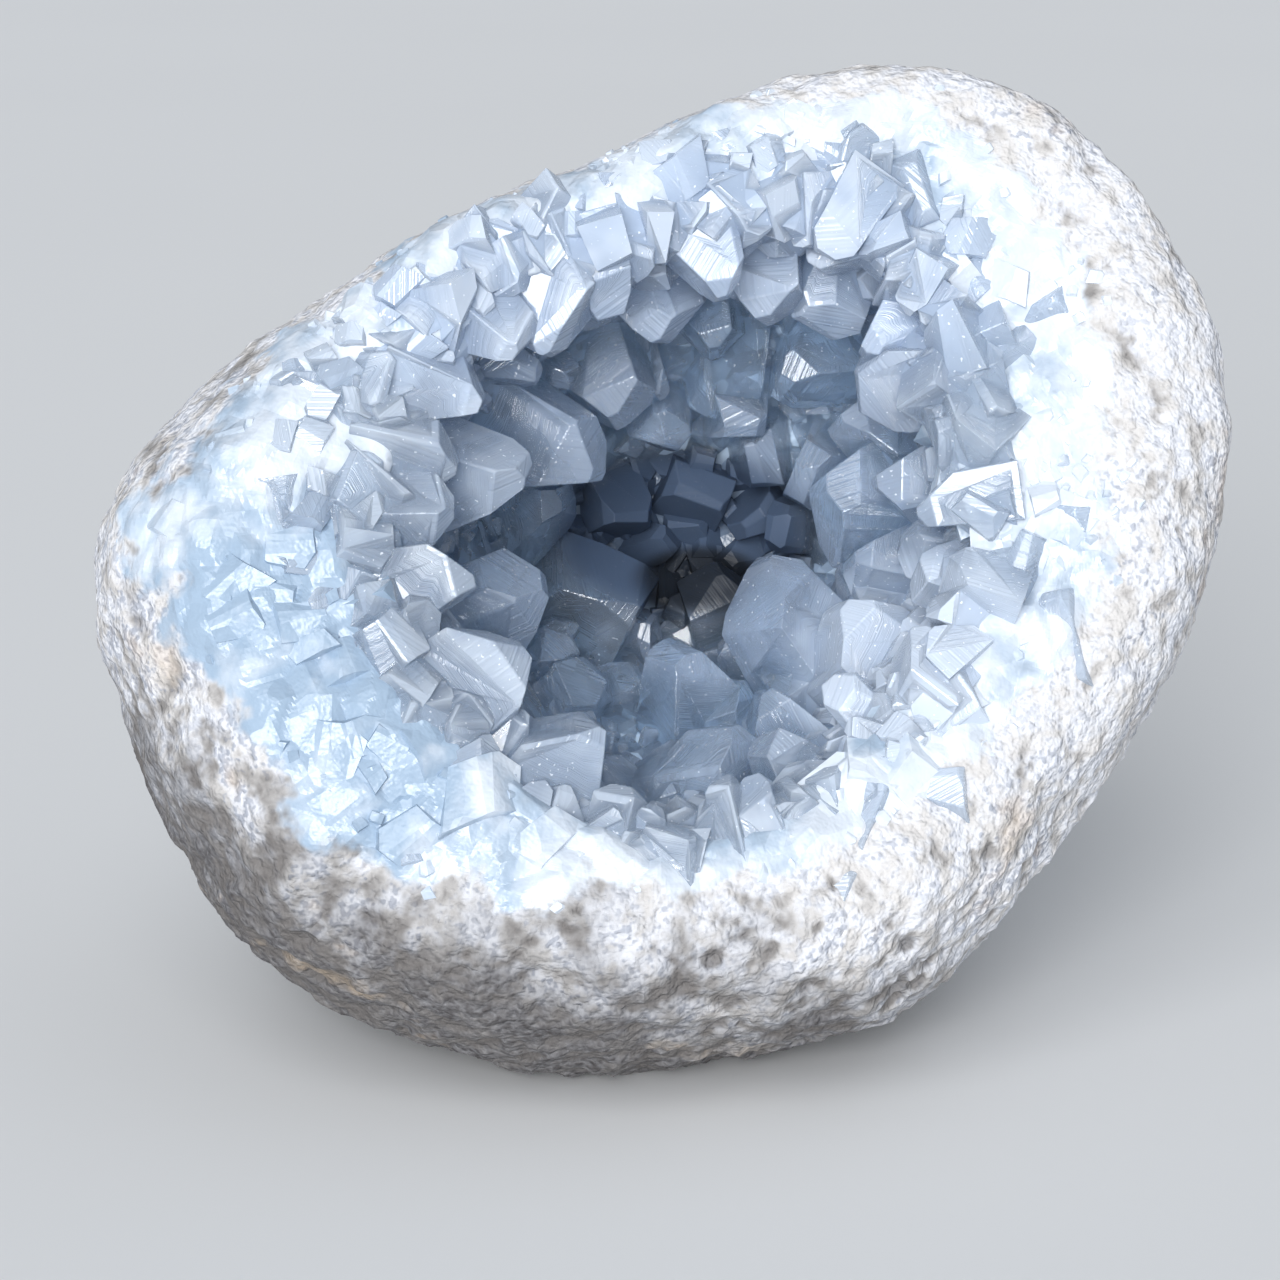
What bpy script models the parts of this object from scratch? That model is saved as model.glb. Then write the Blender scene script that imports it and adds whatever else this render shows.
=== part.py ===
"""A celestite geode: a chalky egg-shaped nodule, opened on one side, with a hollow full of blocky crystals.

Two pieces make it: the matrix rind outside, and the crystal crust that lines it. Each is modelled in the face
frame, in millimetres: x to the right and y up across the open face, h out of the hollow. The geode then leans
back by LEAN and stands on the small flat spot under its belly, +Z up, with its face towards -Y.
"""

import math
import random

import bmesh
import bpy
from mathutils import Matrix, Vector, noise
from mathutils.bvhtree import BVHTree

MM = 0.001

# The stance: the face axis rises from level by LEAN, and FOOT_CUT is ground off below.
LEAN = math.radians(15)
FOOT_CUT = 5.0

# The outline across the face, and the lip of the hollow: radii every 20 degrees, anticlockwise from the
# right.
OUTLINE = (86, 92, 95, 88, 75, 63, 63, 66, 77, 88, 87, 88, 83, 79, 78, 78, 76, 78)
LIP = (49, 50, 57, 60, 54, 49, 50, 48, 45, 43, 41, 41, 42, 43, 43, 43, 43, 45)

# The rim lies on a slope: its height over the widest section at the middle, and how it falls to the right and
# to the top. The lip lies LIP_DROP below it, and no crystal stands over it by more than CRYSTALS_PROUD.
RIM_HEIGHT = 28.0
RIM_FALL_RIGHT = 0.13
RIM_FALL_UP = 0.24
LIP_DROP = 3.0
CRYSTALS_PROUD = 1.5
CREST_SHARE = 0.5

# Depths behind the widest section, and how square each profile is: 1 is an ellipse, less is boxier.
BACK_DEPTH = 65.0
SEAT_DEPTH = 57.0
HOLLOW_DEPTH = 50.0
BACK_SQUARENESS = 0.82
BELLY_SQUARENESS = 0.24
SEAT_SQUARENESS = 0.75
HOLLOW_SQUARENESS = 0.9
HOLLOW_FUNNEL = 1.15
HOLLOW_MIDDLE = Vector((5, 3))

# Clearance between rind and crust, and how far the trimming of the crystals stays off the crust's own seat.
SEAT_GAP = 0.3
TRIM_GAP = 0.12

# Lumps of the weathered skin: height and width of the broad ones, and of the small ones.
BROAD_LUMP = 2.2
BROAD_WIDTH = 34.0
SMALL_LUMP = 0.9
SMALL_WIDTH = 11.0

# Pits in the skin: x, y, radius and depth.
PITS = (
    (-66, -42, 7, 2.6),
    (-45, -48, 6, 2.2),
    (6, -67, 9, 2.4),
    (-18, -62, 5, 1.6),
    (58, 36, 6, 1.5),
    (64, -6, 5, 1.3),
    (44, -58, 6, 1.5),
)

SEGMENTS = 48
BACK_RINGS = 8
FLANK_RINGS = 5
RIM_RINGS = 3
SEAT_RINGS = 5
WALL_RINGS = 7

# The places of the crystals are read across the face by an eye at this distance in front of it.
EYE = Vector((0, 0, 620))

# The main crystals: x, y of the middle, width, thickness, length, spin about its own axis in degrees, and
# its lean off the wall's own direction to the right and up.
CRYSTALS = (
    # Roof of the hollow, from its left end to the right.
    (-36, 34, 13, 11, 10, 70, 0, 0),
    (-26, 36, 10, 9, 10, 40, 0, 0),
    (-17, 40, 13, 11, 12, 10, 0, 0),
    (-9, 44, 12, 6, 10, 80, 0, 0),
    (-1, 40, 9, 8, 11, 30, 0, 0),
    (6, 47, 12, 9, 12, 0, 0, 0),
    (16, 44, 12, 10, 13, 20, 0, 0),
    (25, 42, 12, 11, 12, 50, 0, 0),
    (30, 50, 12, 10, 11, 20, 0, 0),
    (21, 53, 9, 8, 9, 60, 0, 0),
    (41, 47, 9, 8, 8, 0, 0, 0),
    (35, 38, 10, 8, 12, 10, 0, 0),
    (44, 34, 12, 9, 12, 50, 0, 0),
    (47, 37, 8, 7, 8, 30, 0, 0),
    # The second row of the roof, its teeth hanging over the dark hollow.
    (-33, 26, 10, 9, 10, 15, 0, 0),
    (-23, 30, 6, 5, 9, 0, 0, 0),
    (-18, 19, 13, 11, 22, 12, 0, -0.2),
    (-30, 13, 12, 10, 18, 35, 0.1, -0.2),
    (-8, 29, 11, 9, 16, 5, 0, 0),
    (0, 23, 8, 8, 13, 45, 0, 0),
    (-2, 30, 6, 5, 10, 20, 0, 0),
    (7, 37, 10, 8, 9, 0, 0, 0),
    (11, 30, 13, 9, 13, 65, 0, 0),
    (12, 23, 14, 9, 15, 85, 0, 0),
    (24, 30, 14, 11, 14, 5, 0, 0),
    (13, 18, 13, 10, 14, 30, 0, 0),
    (38, 28, 13, 11, 14, 75, 0, 0),
    # Right wall.
    (23, 16, 11, 10, 14, 55, 0, 0),
    (31, 12, 15, 12, 16, 20, -0.1, 0.1),
    (19, 7, 8, 7, 12, 70, 0, 0),
    (33, 20, 10, 8, 12, 30, 0, 0),
    (39, 13, 9, 8, 12, 0, 0, 0),
    (49, 19, 12, 9, 13, 40, -0.5, 0),
    (45, 10, 7, 6, 10, 0, 0, 0),
    (51, 9, 8, 7, 8, 30, 0, 0),
    (42, 3, 10, 8, 10, 60, 0, 0),
    (35, 3, 13, 10, 13, 20, 0, 0),
    (33, -2, 11, 9, 10, 0, 0, 0),
    (44, -1, 9, 8, 8, 30, 0, 0),
    (30, -12, 13, 12, 12, 15, 0, 0),
    # Floor, from the right end to the left.
    (20, -9, 14, 12, 22, 40, -0.1, 0.3),
    (21, -16, 9, 8, 12, 70, 0, 0),
    (9, -5, 9, 7, 14, 10, 0, 0.3),
    (4, -6, 5, 4, 10, 40, 0, 0),
    (5, -19, 13, 12, 17, 30, 0, 0),
    (10, -23, 9, 8, 10, 60, 0, 0),
    (19, -24, 10, 9, 11, 10, 0, 0),
    (9, -31, 15, 10, 11, 55, 0, 0),
    (20, -30, 9, 8, 9, 25, 0, 0),
    (1, -32, 9, 8, 9, 20, 0, 0),
    (-6, -40, 7, 6, 8, 60, 0, 0),
    (-7, -19, 10, 9, 9, 35, 0, 0),
    (-12, -19, 13, 8, 9, 80, 0, 0),
    (-14, -31, 15, 12, 13, 12, 0, 0),
    (-16, -14, 8, 6, 8, 50, 0, 0),
    (-16, -10, 5, 4, 8, 0, 0, 0),
    (-28, -19, 14, 11, 15, 5, 0, 0),
    # Left wall and the deep middle.
    (-10, -4, 14, 12, 17, 20, 0, 0),
    (-24, -6, 14, 11, 15, 45, 0, 0),
    (-19, 6, 14, 9, 12, 0, 0, 0),
    (-6, 10, 11, 9, 9, 20, 0, 0),
    (5, 10, 12, 10, 8, 50, 0, 0),
    (14, 10, 9, 8, 8, 10, 0, 0),
    (-39, 7, 9, 8, 12, 45, 0, 0),
    (-37, -4, 11, 8, 14, 0, 0.4, 0),
    (-40, -13, 12, 9, 11, 70, 0, 0),
    (-32, -25, 9, 7, 11, 20, 0, 0),
    # Crystals of the rim itself, mostly buried in the massive layer.
    (-50, 7, 14, 12, 11, 10, 0, 0),
    (-47, 22, 14, 12, 12, 30, 0.2, -0.3),
    (-58, 23, 10, 9, 8, 0, 0, 0),
    (-61, 9, 11, 9, 7, 50, 0, 0),
    (-51, -12, 13, 11, 8, 25, 0, 0),
    (-45, -27, 13, 10, 8, 60, 0, 0),
    (7, 54, 11, 9, 8, 30, 0, 0),
    (-5, 51, 9, 8, 8, 0, 0, 0),
    (37, 57, 12, 10, 8, 45, 0, 0),
    (30, 58, 9, 8, 7, 10, 0, 0),
    (-25, 44, 10, 8, 7, 30, 0, 0),
    (52, 27, 9, 8, 6, 15, 0, 0),
    (40, -16, 11, 9, 7, 35, 0, 0),
    (22, -37, 10, 8, 6, 15, 0, 0),
)

# The crystals crowd each other: each is this much wider than what shows of it.
CROWDING = 1.3

# Every crystal leans this much out of the hollow, and here into it, as its value is below 0.
OUTWARD_LEAN = -0.25

# How deep a crystal is rooted, and the slopes of its faces off its own axis: the broad and the steep side of
# its roof and its gables, and the turn of the faces that cut its corners off, with the share of corners that
# have one. SKEW slants its section, and TAPER narrows it towards its tip.
ROOT_DEPTH = 6.0
BROAD_SLOPE = (24, 50)
STEEP_SLOPE = (48, 70)
GABLE_SLOPE = (22, 54)
CORNER_TURN = (36, 54)
CORNERS_CUT = 0.45
SKEW = (-0.32, 0.32)
TAPER = (0.05, 0.28)

# Small crystals that fill the gaps between the main ones: how many, and their widths and lengths.
SMALL_CRYSTALS = 8
SMALL_SEED = 11
SMALL_WIDTHS = (5.0, 8.0)
SMALL_LENGTHS = (7.0, 11.0)

# Crystals half buried in the massive layer of the rim, in a ring between lip and crest.
RIM_CRYSTALS = 30
RIM_SEED = 5
RIM_WIDTHS = (7.0, 12.0)
RIM_LENGTHS = (2.0, 4.5)

RIND_COLOUR = (0.80, 0.78, 0.75, 1)
CRYSTAL_COLOUR = (0.42, 0.55, 0.68, 1)


def around(values, angle):
    """A smooth value at an angle, through values spaced evenly round the circle."""
    place = (angle % math.tau) / math.tau * len(values)
    i = int(place)
    t = place - i
    before, a, b, after = (values[(i + k) % len(values)] for k in (-1, 0, 1, 2))
    slope_a, slope_b = (b - before) / 2, (after - a) / 2
    return (
        a * (1 + 2 * t) * (1 - t) ** 2
        + b * t * t * (3 - 2 * t)
        + slope_a * t * (1 - t) ** 2
        - slope_b * t * t * (1 - t)
    )


def polar(angle, radius, h):
    return Vector((radius * math.cos(angle), radius * math.sin(angle), h))


def rim_slope(point):
    """Height of the rim's slope over the widest section, at a point's place across the face."""
    return RIM_HEIGHT - RIM_FALL_RIGHT * point.x - RIM_FALL_UP * point.y


def nearer(radius, h):
    """The real radius of what an eye in front reads at this radius, at height h."""
    return radius * (EYE.z - h) / EYE.z


def crest(angle):
    """Radius and height of the top of the rim, where rind and crust meet."""
    lip, edge = around(LIP, angle), around(OUTLINE, angle)
    radius = lip + CREST_SHARE * (edge - lip)
    height = rim_slope(polar(angle, radius, 0))
    return nearer(radius, height), height


def lip(angle):
    """Radius and height of the edge of the hollow."""
    radius = around(LIP, angle)
    height = rim_slope(polar(angle, radius, 0)) - LIP_DROP
    return nearer(radius, height), height


def quarter(share):
    """Cosine and sine over a quarter turn, for a share from 0 to 1."""
    turn = share * math.pi / 2
    return max(math.cos(turn), 0.0), math.sin(turn)


def back(angle, share):
    """The outer skin from the widest section, share 0, to the back pole, share 1."""
    out, down = quarter(share)
    lower = max(0.0, -math.sin(angle))
    squareness = BACK_SQUARENESS - BELLY_SQUARENESS * lower
    facing = polar(angle, out, -down)
    return polar(angle, around(OUTLINE, angle) * out**squareness, -BACK_DEPTH * down), facing


def flank(angle, share, proud=0.0):
    """The outer skin from the widest section to the crest of the rim, moved out to stand proud."""
    out, up = quarter(share)
    crest_radius, crest_height = crest(angle)
    radius = crest_radius + (around(OUTLINE, angle) - crest_radius) * out
    facing = polar(angle, out, up)
    return polar(angle, radius, crest_height * up) + facing * proud, facing


def rim(angle, share):
    """The top of the crust from the crest to the lip."""
    inward = math.sin(share * math.pi / 2)
    sunk = 1 - math.cos(share * math.pi / 2)
    (crest_radius, crest_height), (lip_radius, lip_height) = crest(angle), lip(angle)
    radius = crest_radius + (lip_radius - crest_radius) * inward
    return polar(angle, radius, crest_height + (lip_height - crest_height) * sunk), Vector((0, 0, 1))


def seat(angle, share, gap=0.0):
    """The surface where crust and rind meet, from the crest to its pole, moved out by a gap."""
    out, down = quarter(share)
    crest_radius, crest_height = crest(angle)
    radius = (crest_radius + gap) * out**SEAT_SQUARENESS
    height = crest_height - (crest_height + SEAT_DEPTH + gap) * down
    return polar(angle, radius, height), Vector((0, 0, 1 - down))


def hollow(angle, share):
    """The wall of the hollow under its crystals, from the lip to its deepest point."""
    out, down = quarter(share)
    lip_radius, lip_height = lip(angle)
    point = polar(angle, lip_radius * out**HOLLOW_SQUARENESS, 0)
    point.z = lip_height - (lip_height + HOLLOW_DEPTH) * down**HOLLOW_FUNNEL
    point.xy += HOLLOW_MIDDLE * down
    return point, Vector((0, 0, out))


def lump(point):
    """How far the weathered skin stands out at a point."""
    broad = noise.noise(point / BROAD_WIDTH)
    small = noise.fractal(point / SMALL_WIDTH, 1.0, 2.0, 2)
    pitted = 0.0
    for x, y, radius, depth in PITS:
        if point.z > 0:
            off = (point.xy - Vector((x, y))).length / radius
            pitted += depth * math.exp(-off * off)
    return BROAD_LUMP * broad + SMALL_LUMP * small - pitted


def wrap(name, stages):
    """A closed mesh of rings that follow the stages in turn, from the lower pole to the upper.

    A stage is a function of angle and share, its number of rings, and the shares at its start and end.
    """
    rings = sum(stage[1] for stage in stages)
    shell = bmesh.new()
    bmesh.ops.create_uvsphere(shell, u_segments=SEGMENTS, v_segments=rings, radius=1)
    for vert in shell.verts:
        ring = round((1 - math.acos(max(-1, min(1, vert.co.z))) / math.pi) * rings)
        angle = math.atan2(vert.co.y, vert.co.x)
        for shape, count, start, end in stages:
            if ring <= count:
                break
            ring -= count
        point, facing = shape(angle, start + (end - start) * ring / count)
        vert.co = point + facing * lump(point)
    mesh = bpy.data.meshes.new(name)
    shell.to_mesh(mesh)
    shell.free()
    return bpy.data.objects.new(name, mesh)


def rind_shape(name, gap, proud):
    """The rind as a bowl, with its seat moved out by a gap and its flank standing proud."""

    def own_flank(angle, share):
        return flank(angle, share, proud)

    def own_seat(angle, share):
        return seat(angle, share, gap)

    stages = ((back, BACK_RINGS, 1, 0), (own_flank, FLANK_RINGS, 0, 1), (own_seat, SEAT_RINGS, 0, 1))
    return wrap(name, stages)


def crust_shape(name):
    """The crust without its crystals."""
    return wrap(name, ((seat, SEAT_RINGS, 1, 0), (rim, RIM_RINGS, 0, 1), (hollow, WALL_RINGS, 0, 1)))


def cut(shell, point, normal):
    """Cuts a closed convex mesh by a plane and caps it."""
    whole = list(shell.verts) + list(shell.edges) + list(shell.faces)
    bmesh.ops.bisect_plane(shell, geom=whole, plane_co=point, plane_no=normal, clear_outer=True)
    open_edges = [edge for edge in shell.edges if edge.is_boundary]
    if open_edges:
        bmesh.ops.edgeloop_fill(shell, edges=open_edges)


def crystal_mesh(name, width, thickness, length, seed):
    """A blocky prism along +Z with a slanting roof, two gables and some of its corners cut off."""
    chance = random.Random(seed)
    shell = bmesh.new()
    bmesh.ops.create_cube(shell, size=1)
    tall = length + ROOT_DEPTH
    bmesh.ops.scale(shell, vec=(width, thickness, tall), verts=shell.verts)
    bmesh.ops.translate(shell, vec=(0, 0, tall / 2 - ROOT_DEPTH), verts=shell.verts)
    skew, taper = chance.uniform(*SKEW), chance.uniform(*TAPER)
    for vert in shell.verts:
        narrowing = 1 - taper * max(vert.co.z, 0) / length
        vert.co.x = vert.co.x * narrowing + skew * vert.co.y
        vert.co.y *= narrowing
    ridge = chance.uniform(-0.22, 0.22) * width
    for side, slopes in ((1, BROAD_SLOPE), (-1, STEEP_SLOPE)):
        slope = math.radians(chance.uniform(*slopes))
        normal = Vector((side * math.sin(slope), chance.uniform(-0.12, 0.12), math.cos(slope)))
        cut(shell, Vector((ridge + side * 0.06 * width, 0, length)), normal)
        slope = math.radians(chance.uniform(*GABLE_SLOPE))
        normal = Vector((chance.uniform(-0.1, 0.1), side * math.cos(slope), math.sin(slope)))
        cut(shell, Vector((0, side * 0.42 * thickness, length * 0.78)), normal)
    for quadrant in range(4):
        if chance.random() < CORNERS_CUT:
            turn = math.radians(90 * quadrant + chance.uniform(*CORNER_TURN))
            normal = Vector((math.cos(turn), math.sin(turn), chance.uniform(0.05, 0.25)))
            side_x, side_y = math.copysign(width, normal.x), math.copysign(thickness, normal.y)
            corner = Vector((side_x, side_y, length)) / 2
            cut(shell, corner * chance.uniform(0.72, 0.88), normal)
    bmesh.ops.recalc_face_normals(shell, faces=shell.faces)
    mesh = bpy.data.meshes.new(name)
    shell.to_mesh(mesh)
    shell.free()
    return mesh


def tree_of(obj):
    """The surface of an object, for casting rays at."""
    return BVHTree.FromPolygons(
        [vert.co for vert in obj.data.vertices], [face.vertices for face in obj.data.polygons]
    )


def read_place(surface, x, y):
    """Where the eye meets a surface at this place, or comes nearest to it, and how it faces there."""
    sight = Vector((x, y, 0)) - EYE
    point, facing, _, _ = surface.ray_cast(EYE, sight)
    if point is None:
        point, facing, _, _ = surface.find_nearest(EYE + sight * (1 - RIM_HEIGHT / EYE.z))
    return point, facing


def plant(surface, number, row):
    """One crystal, rooted where its middle shows at the place that its row gives."""
    x, y, width, thickness, length, spin, lean_x, lean_y = row
    width, thickness = width * CROWDING, thickness * CROWDING
    point, facing = read_place(surface, x, y)
    axis = (facing + Vector((lean_x, lean_y, OUTWARD_LEAN))).normalized()
    step = axis.xy * (length * 0.5)
    point, _ = read_place(surface, x - step.x, y - step.y)
    name = f"crystal_{number:03d}"
    obj = bpy.data.objects.new(name, crystal_mesh(name, width, thickness, length, number))
    turned = axis.to_track_quat("Z", "Y").to_matrix() @ Matrix.Rotation(math.radians(spin), 3, "Z")
    obj.data.transform(Matrix.LocRotScale(point, turned, None))
    proud = max(vert.co.z - rim_slope(vert.co) for vert in obj.data.vertices) - CRYSTALS_PROUD
    if proud > 0:
        obj.data.transform(Matrix.Translation((0, 0, -proud)))
    return obj


def small_rows(taken):
    """Rows for small crystals, dropped at random into the gaps between those that are there."""
    chance = random.Random(SMALL_SEED)
    rows = []
    places = [(row[0], row[1], row[2]) for row in taken]
    while len(rows) < SMALL_CRYSTALS:
        angle = chance.uniform(0, math.tau)
        x, y = polar(angle, around(LIP, angle) * math.sqrt(chance.random()), 0).xy
        width = chance.uniform(*SMALL_WIDTHS)
        if any(math.hypot(x - a, y - b) < 0.42 * (w + width) for a, b, w in places):
            continue
        length = chance.uniform(*SMALL_LENGTHS)
        rows.append((x, y, width, width * 0.85, length, chance.uniform(0, 90), 0, 0))
        places.append((x, y, width))
    return rows


def rim_rows():
    """Rows for the crystals of the rim, spread evenly round it and at random across it."""
    chance = random.Random(RIM_SEED)
    rows = []
    for number in range(RIM_CRYSTALS):
        angle = (number + chance.uniform(-0.3, 0.3)) / RIM_CRYSTALS * math.tau
        edge, outer = around(LIP, angle), around(OUTLINE, angle)
        across = (0.06, 0.3)[number % 2] + chance.uniform(-0.04, 0.08)
        x, y = polar(angle, edge + across * (outer - edge), 0).xy
        width = chance.uniform(*RIM_WIDTHS)
        lean = polar(angle, -0.4, 0)
        length = chance.uniform(*RIM_LENGTHS)
        thickness = width * chance.uniform(0.7, 1)
        spin = chance.uniform(0, 90)
        rows.append((x, y, width, thickness, length, spin, lean.x, lean.y))
    return rows


def material(name, colour, roughness):
    made = bpy.data.materials.new(name)
    made.use_nodes = True
    shader = made.node_tree.nodes["Principled BSDF"]
    shader.inputs["Base Color"].default_value = colour
    shader.inputs["Roughness"].default_value = roughness
    shader.inputs["Metallic"].default_value = 0.0
    made.diffuse_color = colour
    return made


def boolean(obj, name, operation, other):
    """A Boolean modifier that cuts by an object or joins a whole collection."""
    modifier = obj.modifiers.new(name, "BOOLEAN")
    modifier.operation = operation
    modifier.solver = "EXACT"
    if isinstance(other, bpy.types.Collection):
        modifier.operand_type = "COLLECTION"
        modifier.collection = other
    else:
        modifier.object = other


def helper(obj, collection):
    """Puts an object among the cutters and joined shapes that don't show."""
    collection.objects.link(obj)
    obj.hide_render = True
    obj.display_type = "WIRE"


def connected(seed):
    """All the vertices joined to this one by edges."""
    found, waiting = {seed}, [seed]
    while waiting:
        vert = waiting.pop()
        for edge in vert.link_edges:
            other = edge.other_vert(vert)
            if other not in found:
                found.add(other)
                waiting.append(other)
    return found


def settled(obj):
    """The object's mesh as its modifiers leave it, without the voids sealed in between its crystals."""
    bpy.context.view_layer.update()
    graph = bpy.context.evaluated_depsgraph_get()
    mesh = bpy.data.meshes.new_from_object(obj.evaluated_get(graph))
    skin = bmesh.new()
    skin.from_mesh(mesh)
    left = set(skin.verts)
    islands = []
    while left:
        islands.append(connected(next(iter(left))))
        left -= islands[-1]
    largest = max(islands, key=len)
    voids = [vert for vert in skin.verts if vert not in largest]
    bmesh.ops.delete(skin, geom=voids, context="VERTS")
    skin.to_mesh(mesh)
    skin.free()
    return mesh


def stand(pieces):
    """The matrix from the face frame, in millimetres, to the geode on its foot at the origin."""
    rise = Matrix.Rotation(math.pi / 2 - LEAN, 3, "X")
    points = [rise @ vert.co for piece in pieces for vert in piece.data.vertices]
    low = Vector(min(point[axis] for point in points) for axis in range(3))
    high = Vector(max(point[axis] for point in points) for axis in range(3))
    foot = Vector(((low.x + high.x) / 2, (low.y + high.y) / 2, low.z + FOOT_CUT))
    return Matrix.Scale(MM, 4) @ Matrix.Translation(-foot) @ rise.to_4x4()


def foot_cutter(name):
    """The block that takes off what lies below the foot."""
    side = 2.5 * max(OUTLINE) * MM
    bpy.ops.mesh.primitive_cube_add(size=side, location=(0, 0, -side / 2))
    block = bpy.context.active_object
    block.name = name
    for collection in list(block.users_collection):
        collection.objects.unlink(block)
    return block


def main():
    for obj in list(bpy.data.objects):
        bpy.data.objects.remove(obj)
    geode = bpy.data.collections.new("celestite_geode")
    helpers = bpy.data.collections.new("cutters")
    crystals = bpy.data.collections.new("loose_crystals")
    for collection in (geode, helpers, crystals):
        bpy.context.scene.collection.children.link(collection)

    crust = crust_shape("crystal_crust")
    surface = tree_of(crust)
    rows = list(CRYSTALS)
    rows += small_rows(rows)
    rows += rim_rows()
    for number, row in enumerate(rows):
        helper(plant(surface, number, row), crystals)
    trimmer = rind_shape("trimmer", TRIM_GAP, SEAT_GAP)
    helper(trimmer, helpers)
    geode.objects.link(crust)
    boolean(crust, "join_crystals", "UNION", crystals)
    boolean(crust, "trim_roots", "DIFFERENCE", trimmer)
    grown = settled(crust)
    crust.modifiers.clear()
    crust.data = grown

    rind = rind_shape("matrix_rind", SEAT_GAP, 0.0)
    geode.objects.link(rind)
    for obj in list(crystals.objects) + [trimmer]:
        bpy.data.objects.remove(obj)

    pose = stand((rind, crust))
    for piece in (rind, crust):
        piece.data.transform(pose)
    block = foot_cutter("foot_cutter")
    helper(block, helpers)
    boolean(rind, "foot", "DIFFERENCE", block)
    rind.data.materials.append(material("chalky_matrix", RIND_COLOUR, 0.9))
    crust.data.materials.clear()
    crust.data.materials.append(material("celestite", CRYSTAL_COLOUR, 0.3))


main()
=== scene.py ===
"""The looks of a celestite geode, a chalky nodule whose open hollow is lined with blocky pale blue crystals.

The shapes are worked out in the face frame, in millimetres: x to the right and y up across the open face, h out
of the hollow. They follow the same outline, lip and table of crystals as the solids, with fine relief on them.
"""

import math
import random

import bmesh
import bpy
import numpy as np
from mathutils import Matrix, Vector, kdtree, noise
from mathutils.bvhtree import BVHTree


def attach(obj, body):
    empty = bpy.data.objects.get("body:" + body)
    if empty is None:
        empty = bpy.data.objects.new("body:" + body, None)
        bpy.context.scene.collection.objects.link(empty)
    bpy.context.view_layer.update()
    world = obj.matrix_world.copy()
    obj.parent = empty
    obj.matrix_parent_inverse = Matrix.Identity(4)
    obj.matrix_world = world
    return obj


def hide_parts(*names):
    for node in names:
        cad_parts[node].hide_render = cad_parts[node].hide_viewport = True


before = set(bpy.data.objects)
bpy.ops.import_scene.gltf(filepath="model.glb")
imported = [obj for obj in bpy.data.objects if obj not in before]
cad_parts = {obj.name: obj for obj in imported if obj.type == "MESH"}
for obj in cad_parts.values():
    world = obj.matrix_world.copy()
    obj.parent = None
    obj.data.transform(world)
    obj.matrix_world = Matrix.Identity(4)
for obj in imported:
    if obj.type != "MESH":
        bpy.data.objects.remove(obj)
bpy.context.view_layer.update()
BODY = "root"

MM = 0.001
LEAN = math.radians(15)
FACE_CENTRE = Vector((-0.000493, -0.005078, 0.073737))
TO_WORLD = (
    Matrix.Translation(FACE_CENTRE)
    @ Matrix.Rotation(math.pi / 2 - LEAN, 4, "X")
    @ Matrix.Scale(MM, 4)
)

# The outline across the face, and the lip of the hollow: radii every 20 degrees, anticlockwise from the right.
OUTLINE = (86, 92, 95, 88, 75, 63, 63, 66, 77, 88, 87, 88, 83, 79, 78, 78, 76, 78)
LIP = (49, 50, 57, 60, 54, 49, 50, 48, 45, 43, 41, 41, 42, 43, 43, 43, 43, 45)

# How far crystals reach over the rim, as a share of the way from lip to outline, at the same angles.
CRYSTAL_REACH = (
    0.55, 0.55, 0.6, 0.75, 0.85, 0.9, 0.9, 0.85, 0.85, 0.8, 0.62, 0.55, 0.4, 0.2, 0.18, 0.25, 0.35, 0.45,
)

# How far large loose crystals reach over the rim, in the same way.
GROWTH_REACH = (
    0.04, 0.08, 0.25, 0.50, 0.70, 0.80, 0.80, 0.75, 0.62, 0.30, 0.10, 0.06, 0.04, 0.02, 0.02, 0.06, 0.12, 0.06,
)

RIM_HEIGHT = 28.0
RIM_FALL_RIGHT = 0.13
RIM_FALL_UP = 0.24
LIP_DROP = 3.0
CRYSTALS_PROUD = 1.5
CREST_SHARE = 0.5

BACK_DEPTH = 65.0
SEAT_DEPTH = 57.0
HOLLOW_DEPTH = 50.0
BACK_SQUARENESS = 0.82
BELLY_SQUARENESS = 0.24
SEAT_SQUARENESS = 0.75
HOLLOW_SQUARENESS = 0.9
HOLLOW_FUNNEL = 1.15
HOLLOW_MIDDLE = (5.0, 3.0)
SEAT_GAP = 0.3

BROAD_LUMP = 2.2
BROAD_WIDTH = 34.0
SMALL_LUMP = 0.9
SMALL_WIDTH = 11.0
PITS = (
    (-66, -42, 7, 2.6),
    (-45, -48, 6, 2.2),
    (6, -67, 9, 2.4),
    (-18, -62, 5, 1.6),
    (58, 36, 6, 1.5),
    (64, -6, 5, 1.3),
    (44, -58, 6, 1.5),
)

# The fine grids of the two skins: points round the geode, and rows along each stretch of it.
SEGMENTS = 480
BACK_ROWS = 118
FLANK_ROWS = 56
SEAT_ROWS = 10
RIM_ROWS = 66
WALL_ROWS = 84

# Fine relief of the stone, in millimetres: roughness, grit and pits.
ROUGH = 0.55
ROUGH_WIDTH = 4.6
GRIT = 0.28
GRIT_WIDTH = 1.7
PIT_WIDTH = 7.5
PIT_DEPTH = 1.1

# The broken facets of the massive layer: their spacing, height, slopes and tilt.
DRUSE_SPACING = 8.0
DRUSE_HEIGHT = (0.2, 2.0)
DRUSE_SLOPE = (0.12, 0.6)
DRUSE_TILT = 0.14
DRUSE_SEED = 21

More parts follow.
